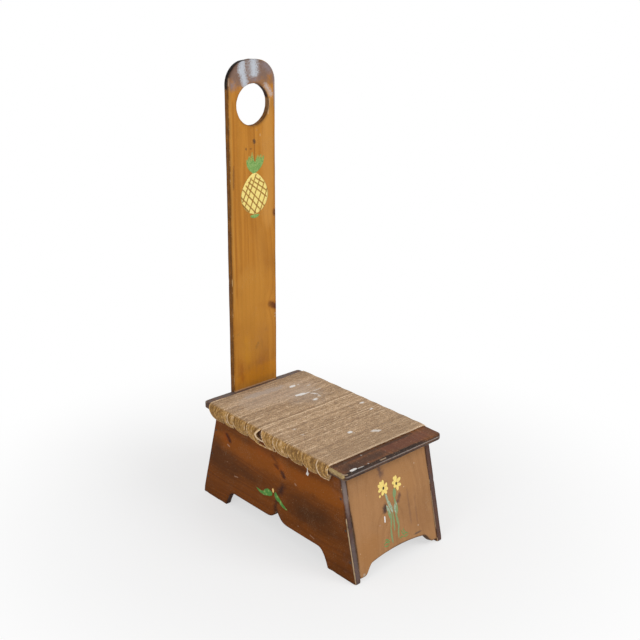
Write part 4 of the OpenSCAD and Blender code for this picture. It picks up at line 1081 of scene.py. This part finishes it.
# Nails and screws. Cut steel, dulled and stained over with the wood. The nails
# in the sides and the screws in the plank's back show only their heads.
STEEL_GREY, STEEL_RUST = (0.065, 0.055, 0.050, 1), (0.085, 0.036, 0.018, 1)
old_steel, tree, shader = new_material("old_steel")
rust = noise(tree, object_place(tree), 900.0, 4.0, 0.7)
feed(tree, shader.inputs, {"Base Color": tint(tree, step(tree, rust, 0.42, 0.62), STEEL_GREY, STEEL_RUST),
                           "Metallic": step(tree, rust, 0.35, 0.65, 0.9, 0.25),
                           "Roughness": step(tree, rust, 0.35, 0.65, 0.42, 0.75),
                           "Normal": bumps(tree, rust, 0.4, 0.0002)})
for node in ("corner_nail_set", "seat_nail_set", "plank_screw_set"):
    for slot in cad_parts[node].material_slots:
        slot.material = old_steel


# Painted ornaments. Thick craft paint laid on with a round brush: two yellow
# flowers on the front, a pair of leaves with an orange dot on the left side and
# a pineapple on the plank. Each stroke stands a quarter of a millimetre proud.
PAINT_THICK, STROKE_POINTS, STROKE_SIDES = 0.00028, 21, 14
CHIP_BROWN = (0.20, 0.09, 0.03, 1)


def strokes(name, plane, touches):
    """Brush strokes on a board. Each is (start, end, width, bend, full, skew): its middle line
    runs from start to end and bows sideways by the bend times 4 t (1 - t); its half width is the
    width times the sine of pi times t to the skew, to the power full; its section is a flat lens.
    plane is the origin, the across, the up and the outward direction of the board's face."""
    origin, across, upwards, outwards = (np.array(v, float) for v in plane)
    along = np.linspace(0.002, 0.998, STROKE_POINTS)
    around = np.linspace(0, 2 * np.pi, STROKE_SIDES, endpoint=False)
    points, faces = [], []
    for start, end, width, bend, full, skew in touches:
        start, end = np.array(start), np.array(end)
        run = end - start
        side = np.array([-run[1], run[0]]) / np.linalg.norm(run)
        middle = start + along[:, None] * run + side * (bend * 4 * along * (1 - along))[:, None]
        half = width * np.sin(np.pi * along ** skew) ** full
        flat = middle[:, None, :] + side * (half[:, None] * np.cos(around)[None, :])[..., None]
        lift = PAINT_THICK * np.sin(around)[None, :] * np.minimum(1, half / width * 1.6)[:, None]
        rings = origin + flat[..., :1] * across + flat[..., 1:] * upwards + lift[..., None] * outwards
        first = len(points)
        points += rings.reshape(-1, 3).tolist()
        faces += (tube_quads(STROKE_POINTS, STROKE_SIDES) + first).tolist()
        last = first + (STROKE_POINTS - 1) * STROKE_SIDES
        faces += [[ring + k for k in range(STROKE_SIDES)] for ring in (first, last)]
    return put_mesh(name, points, faces)


def craft_paint(name, thick, thin, marks=(), chips=0.85):
    """Old craft paint: a main colour, a thinner one where the brush ran dry, marks of other paint
    laid over it, and small chips down to the wood."""
    material, tree, shader = new_material(name, 0.5, 0.35)
    place = object_place(tree)
    dry = noise(tree, place, 330.0, 4.0, 0.65)
    chipped = noise(tree, place, 620.0, 3.0, 0.6)
    colour = tint(tree, step(tree, dry, 0.40, 0.66), thick, thin)
    colour = mark_over(tree, place, colour, marks)
    colour = laid_over(tree, colour, CHIP_BROWN, step(tree, chipped, 0.64, 0.70), chips)
    feed(tree, shader.inputs, {"Base Color": colour, "Normal": bumps(tree, dry, 0.4, 0.0003)})
    return material


yellow = craft_paint("yellow_paint", (0.930, 0.750, 0.210, 1), (0.880, 0.600, 0.180, 1), chips=0.5)
green = craft_paint("green_paint", (0.110, 0.260, 0.060, 1), (0.200, 0.300, 0.110, 1))
sage = craft_paint("sage_paint", (0.190, 0.310, 0.130, 1), (0.270, 0.280, 0.120, 1))
pale_sage = craft_paint("pale_sage_paint", (0.400, 0.450, 0.330, 1), (0.220, 0.300, 0.150, 1))
umber = craft_paint("umber_paint", (0.035, 0.022, 0.008, 1), (0.080, 0.045, 0.012, 1), chips=0.3)
orange = craft_paint("orange_paint", (0.900, 0.480, 0.100, 1), (0.950, 0.700, 0.300, 1), chips=0.2)

front_plane = ((0, -BASE_HALF, 0), (1, 0, 0), (0, FRONT_SLOPE, 1),
               (0, -np.cos(FRONT_LEAN), np.sin(FRONT_LEAN)))
FLOWERS = (((-0.0164, 0.1442), ((-0.0161, 0.1590), (-0.0240, 0.1575), (-0.0290, 0.1530), (-0.0300, 0.1415),
                                (-0.0220, 0.1320), (-0.0100, 0.1325), (-0.0055, 0.1392), (-0.0062, 0.1508))),
           ((0.0157, 0.1420), ((0.0166, 0.1570), (0.0110, 0.1560), (0.0279, 0.1495), (0.0275, 0.1362),
                               (0.0180, 0.1285), (0.0058, 0.1465), (0.0085, 0.1372))))
petals, hearts = [], []
for heart_place, tips in FLOWERS:
    heart_place = np.array(heart_place)
    for number, tip in enumerate(tips):
        reach = np.array(tip) - heart_place
        petals.append((heart_place + 0.12 * reach, tip, 0.0033, 0.0005 * (-1) ** number, 0.5, 1.25))
    hearts.append((heart_place + (-0.0006, -0.0032), heart_place + (0.0004, 0.0030), 0.0027, 0.0, 0.6, 1.0))
petals.append(((-0.0265, 0.1345), (-0.0285, 0.1300), 0.0022, 0.0, 0.6, 1.0))
broad_stems = [((-0.0145, 0.1340), (-0.0105, 0.1160), 0.0026, 0.0005, 0.5, 1.0),
               ((-0.0130, 0.1220), (-0.0050, 0.1050), 0.0034, 0.0006, 0.6, 1.2),
               ((-0.0105, 0.1150), (-0.0020, 0.0940), 0.0036, 0.0010, 0.6, 1.0),
               ((-0.0150, 0.1120), (-0.0080, 0.0940), 0.0028, -0.0006, 0.5, 1.0),
               ((0.0085, 0.1120), (0.0035, 0.0950), 0.0036, 0.0008, 0.6, 0.9),
               ((0.0030, 0.1060), (0.0060, 0.0880), 0.0022, -0.0004, 0.6, 1.0)]
stems = [((0.0094, 0.1360), (0.0062, 0.1180), 0.0044, 0.0005, 0.6, 1.0),
         ((0.0064, 0.1200), (0.0066, 0.1020), 0.0024, 0.0004, 0.4, 1.0),
         ((-0.0125, 0.1060), (-0.0105, 0.0860), 0.0024, -0.0004, 0.5, 1.0),
         ((0.0095, 0.1080), (0.0060, 0.0860), 0.0034, 0.0006, 0.6, 1.0),
         ((-0.0070, 0.0980), (-0.0115, 0.0680), 0.0022, 0.0010, 0.4, 1.0),
         ((-0.0115, 0.0720), (-0.0115, 0.0400), 0.0021, -0.0010, 0.4, 1.0),
         ((-0.0030, 0.0960), (-0.0035, 0.0600), 0.0020, 0.0010, 0.4, 1.0),
         ((0.0042, 0.0930), (0.0062, 0.0700), 0.0024, 0.0004, 0.4, 1.0),
         ((0.0060, 0.0860), (0.0085, 0.0620), 0.0022, 0.0, 0.4, 1.0),
         ((0.0080, 0.0680), (0.0042, 0.0450), 0.0020, -0.0008, 0.4, 1.0)]
leaves = [((-0.0345, 0.0450), (-0.0195, 0.0450), 0.0011, 0.0030, 0.4, 1.0),
          ((-0.0345, 0.0440), (-0.0200, 0.0440), 0.0011, -0.0035, 0.4, 1.0),
          ((-0.0310, 0.0535), (-0.0190, 0.0455), 0.0012, 0.0022, 0.4, 1.0),
          ((-0.0300, 0.0515), (-0.0200, 0.0455), 0.0011, -0.0015, 0.4, 1.0),
          ((0.0165, 0.0440), (0.0285, 0.0450), 0.0011, 0.0030, 0.4, 1.0),
          ((0.0165, 0.0425), (0.0285, 0.0435), 0.0011, -0.0012, 0.4, 1.0),
          ((0.0130, 0.0570), (0.0205, 0.0455), 0.0012, -0.0025, 0.4, 1.0),
          ((0.0180, 0.0585), (0.0230, 0.0480), 0.0012, -0.0020, 0.4, 1.0),
          ((0.0055, 0.0425), (0.0160, 0.0435), 0.0012, 0.0010, 0.4, 1.0)]

side_plane = ((side_low[0] + FACE_SINK, 0, 0), (0, 1, 0), (0, 0, 1), (-1, 0, 0))
sprig = [((0.0045, 0.0865), (0.0300, 0.0805), 0.0072, 0.0, 0.55, 0.90),
         ((0.0130, 0.0900), (0.0215, 0.0860), 0.0036, 0.0, 0.6, 1.00),
         ((0.0150, 0.0800), (0.0425, 0.0768), 0.0042, -0.0012, 0.7, 0.90),
         ((0.0320, 0.0752), (0.0522, 0.0806), 0.0028, -0.0010, 0.9, 0.70),
         ((-0.0035, 0.0925), (-0.0135, 0.0765), 0.0050, 0.0010, 0.6, 0.90),
         ((-0.0105, 0.0880), (-0.0387, 0.0692), 0.0040, 0.0044, 0.7, 0.80)]
berry = [((0.0024, 0.0985), (0.0020, 0.0890), 0.0027, 0.0, 0.5, 1.0)]
LEAF_LIGHT = (0.380, 0.520, 0.120, 1)
LEAF_SPOTS = (((0.0275, 0.0811), (0.0040, 0.0034)), ((0.0218, 0.0779), (0.0036, 0.0030)),
              ((0.0306, 0.0735), (0.0030, 0.0022)), ((0.0400, 0.0790), (0.0036, 0.0024)),
              ((-0.010, 0.0860), (0.0024, 0.0040)), ((-0.020, 0.0770), (0.0030, 0.0060)),
              ((-0.036, 0.0705), (0.0050, 0.0024)), ((0.0150, 0.0880), (0.0030, 0.0030)))
leaf_marks = marks_on(0, side_low[0], 0.01,
                      [(*spot, LEAF_LIGHT, 0.7, None, 1.2, 420, 0.1) for spot in LEAF_SPOTS])
leaf_green = craft_paint("leaf_green_paint", (0.055, 0.235, 0.030, 1), (0.100, 0.290, 0.045, 1),
                         leaf_marks, chips=0.5)

plank_plane = ((0, plank_face, 0), (1, 0, 0), (0, 0, 1), (0, -1, 0))
FRUIT_MIDDLE, FRUIT_ENDS, FRUIT_HALF = 0.0060, (0.5655, 0.6460), 0.0325
fruit_body = [((FRUIT_MIDDLE, FRUIT_ENDS[0]), (FRUIT_MIDDLE, FRUIT_ENDS[1]), FRUIT_HALF, 0.0, 0.64, 0.86)]
FRUIT_LINES = (((0.0098, 0.6350), (0.0279, 0.6236)), ((-0.0011, 0.6330), (0.0339, 0.6085)),
               ((-0.0083, 0.6290), (0.0345, 0.5960)), ((-0.0144, 0.6230), (0.0286, 0.5790)),
               ((-0.0215, 0.6160), (0.0180, 0.5740)), ((-0.0260, 0.6020), (0.0080, 0.5680)),
               ((-0.0235, 0.5880), (-0.0080, 0.5720)),
               ((0.0292, 0.6244), (0.0050, 0.5680)), ((0.0193, 0.6330), (-0.0080, 0.5720)),
               ((0.0100, 0.6417), (-0.0165, 0.5850)), ((-0.0020, 0.6360), (-0.0230, 0.5930)),
               ((0.0370, 0.6120), (0.0180, 0.5690)))
LINE_HALF, LINE_BROWN = (0.0020, 0.0020), (0.330, 0.150, 0.014, 1)
fruit_marks = marks_on(1, plank_face, 0.1,
                       [(start, LINE_HALF, LINE_BROWN, 0.95, end, 1.5, 330) for start, end in FRUIT_LINES])
pineapple_paint = craft_paint("pineapple_paint", (0.930, 0.780, 0.260, 1), (0.880, 0.680, 0.180, 1),
                              fruit_marks, chips=0.5)
crown_tips = marks_on(1, plank_face, 0.1, (
    ((-0.0160, 0.6900), (0.012, 0.0250), (0.520, 0.240, 0.036, 1), 0.90, (0.0360, 0.6880), 1.8, 330, -0.1),))
crown_green = craft_paint("crown_green_paint", (0.260, 0.430, 0.120, 1), (0.130, 0.300, 0.055, 1),
                          crown_tips, chips=0.7)
crown_leaves = [((0.0050, 0.6440), (-0.0115, 0.6730), 0.0036, 0.0030, 0.6, 1.2),
                ((0.0050, 0.6440), (-0.0060, 0.6790), 0.0044, 0.0030, 0.6, 1.1),
                ((0.0055, 0.6440), (0.0015, 0.6860), 0.0046, 0.0020, 0.7, 1.0),
                ((0.0050, 0.6440), (0.0060, 0.6680), 0.0050, 0.0, 0.6, 0.8),
                ((0.0060, 0.6440), (0.0155, 0.6790), 0.0042, -0.0010, 0.6, 1.2),
                ((0.0065, 0.6440), (0.0225, 0.6790), 0.0044, -0.0020, 0.6, 1.3),
                ((0.0065, 0.6440), (0.0292, 0.6760), 0.0042, -0.0030, 0.6, 1.3),
                ((-0.0050, 0.5630), (0.0170, 0.5630), 0.0036, -0.0015, 0.5, 1.0)]

for name, plane, slot, touches, material in (
        ("front_petals", front_plane, "front_wood", petals, yellow),
        ("front_flower_hearts", front_plane, "front_wood", hearts, umber),
        ("front_broad_stems", front_plane, "front_wood", broad_stems, pale_sage),
        ("front_stems", front_plane, "front_wood", stems, sage),
        ("front_leaves", front_plane, "front_wood", leaves, green),
        ("side_leaves", side_plane, "side_wood", sprig, leaf_green),
        ("side_dot", side_plane, "side_wood", berry, orange),
        ("pineapple", plank_plane, "plank_wood", fruit_body, pineapple_paint),
        ("pineapple_leaves", plank_plane, "plank_wood", crown_leaves, crown_green)):
    piece = strokes(name, plane, touches)
    piece.data.materials.append(material)
    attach(piece, "root")
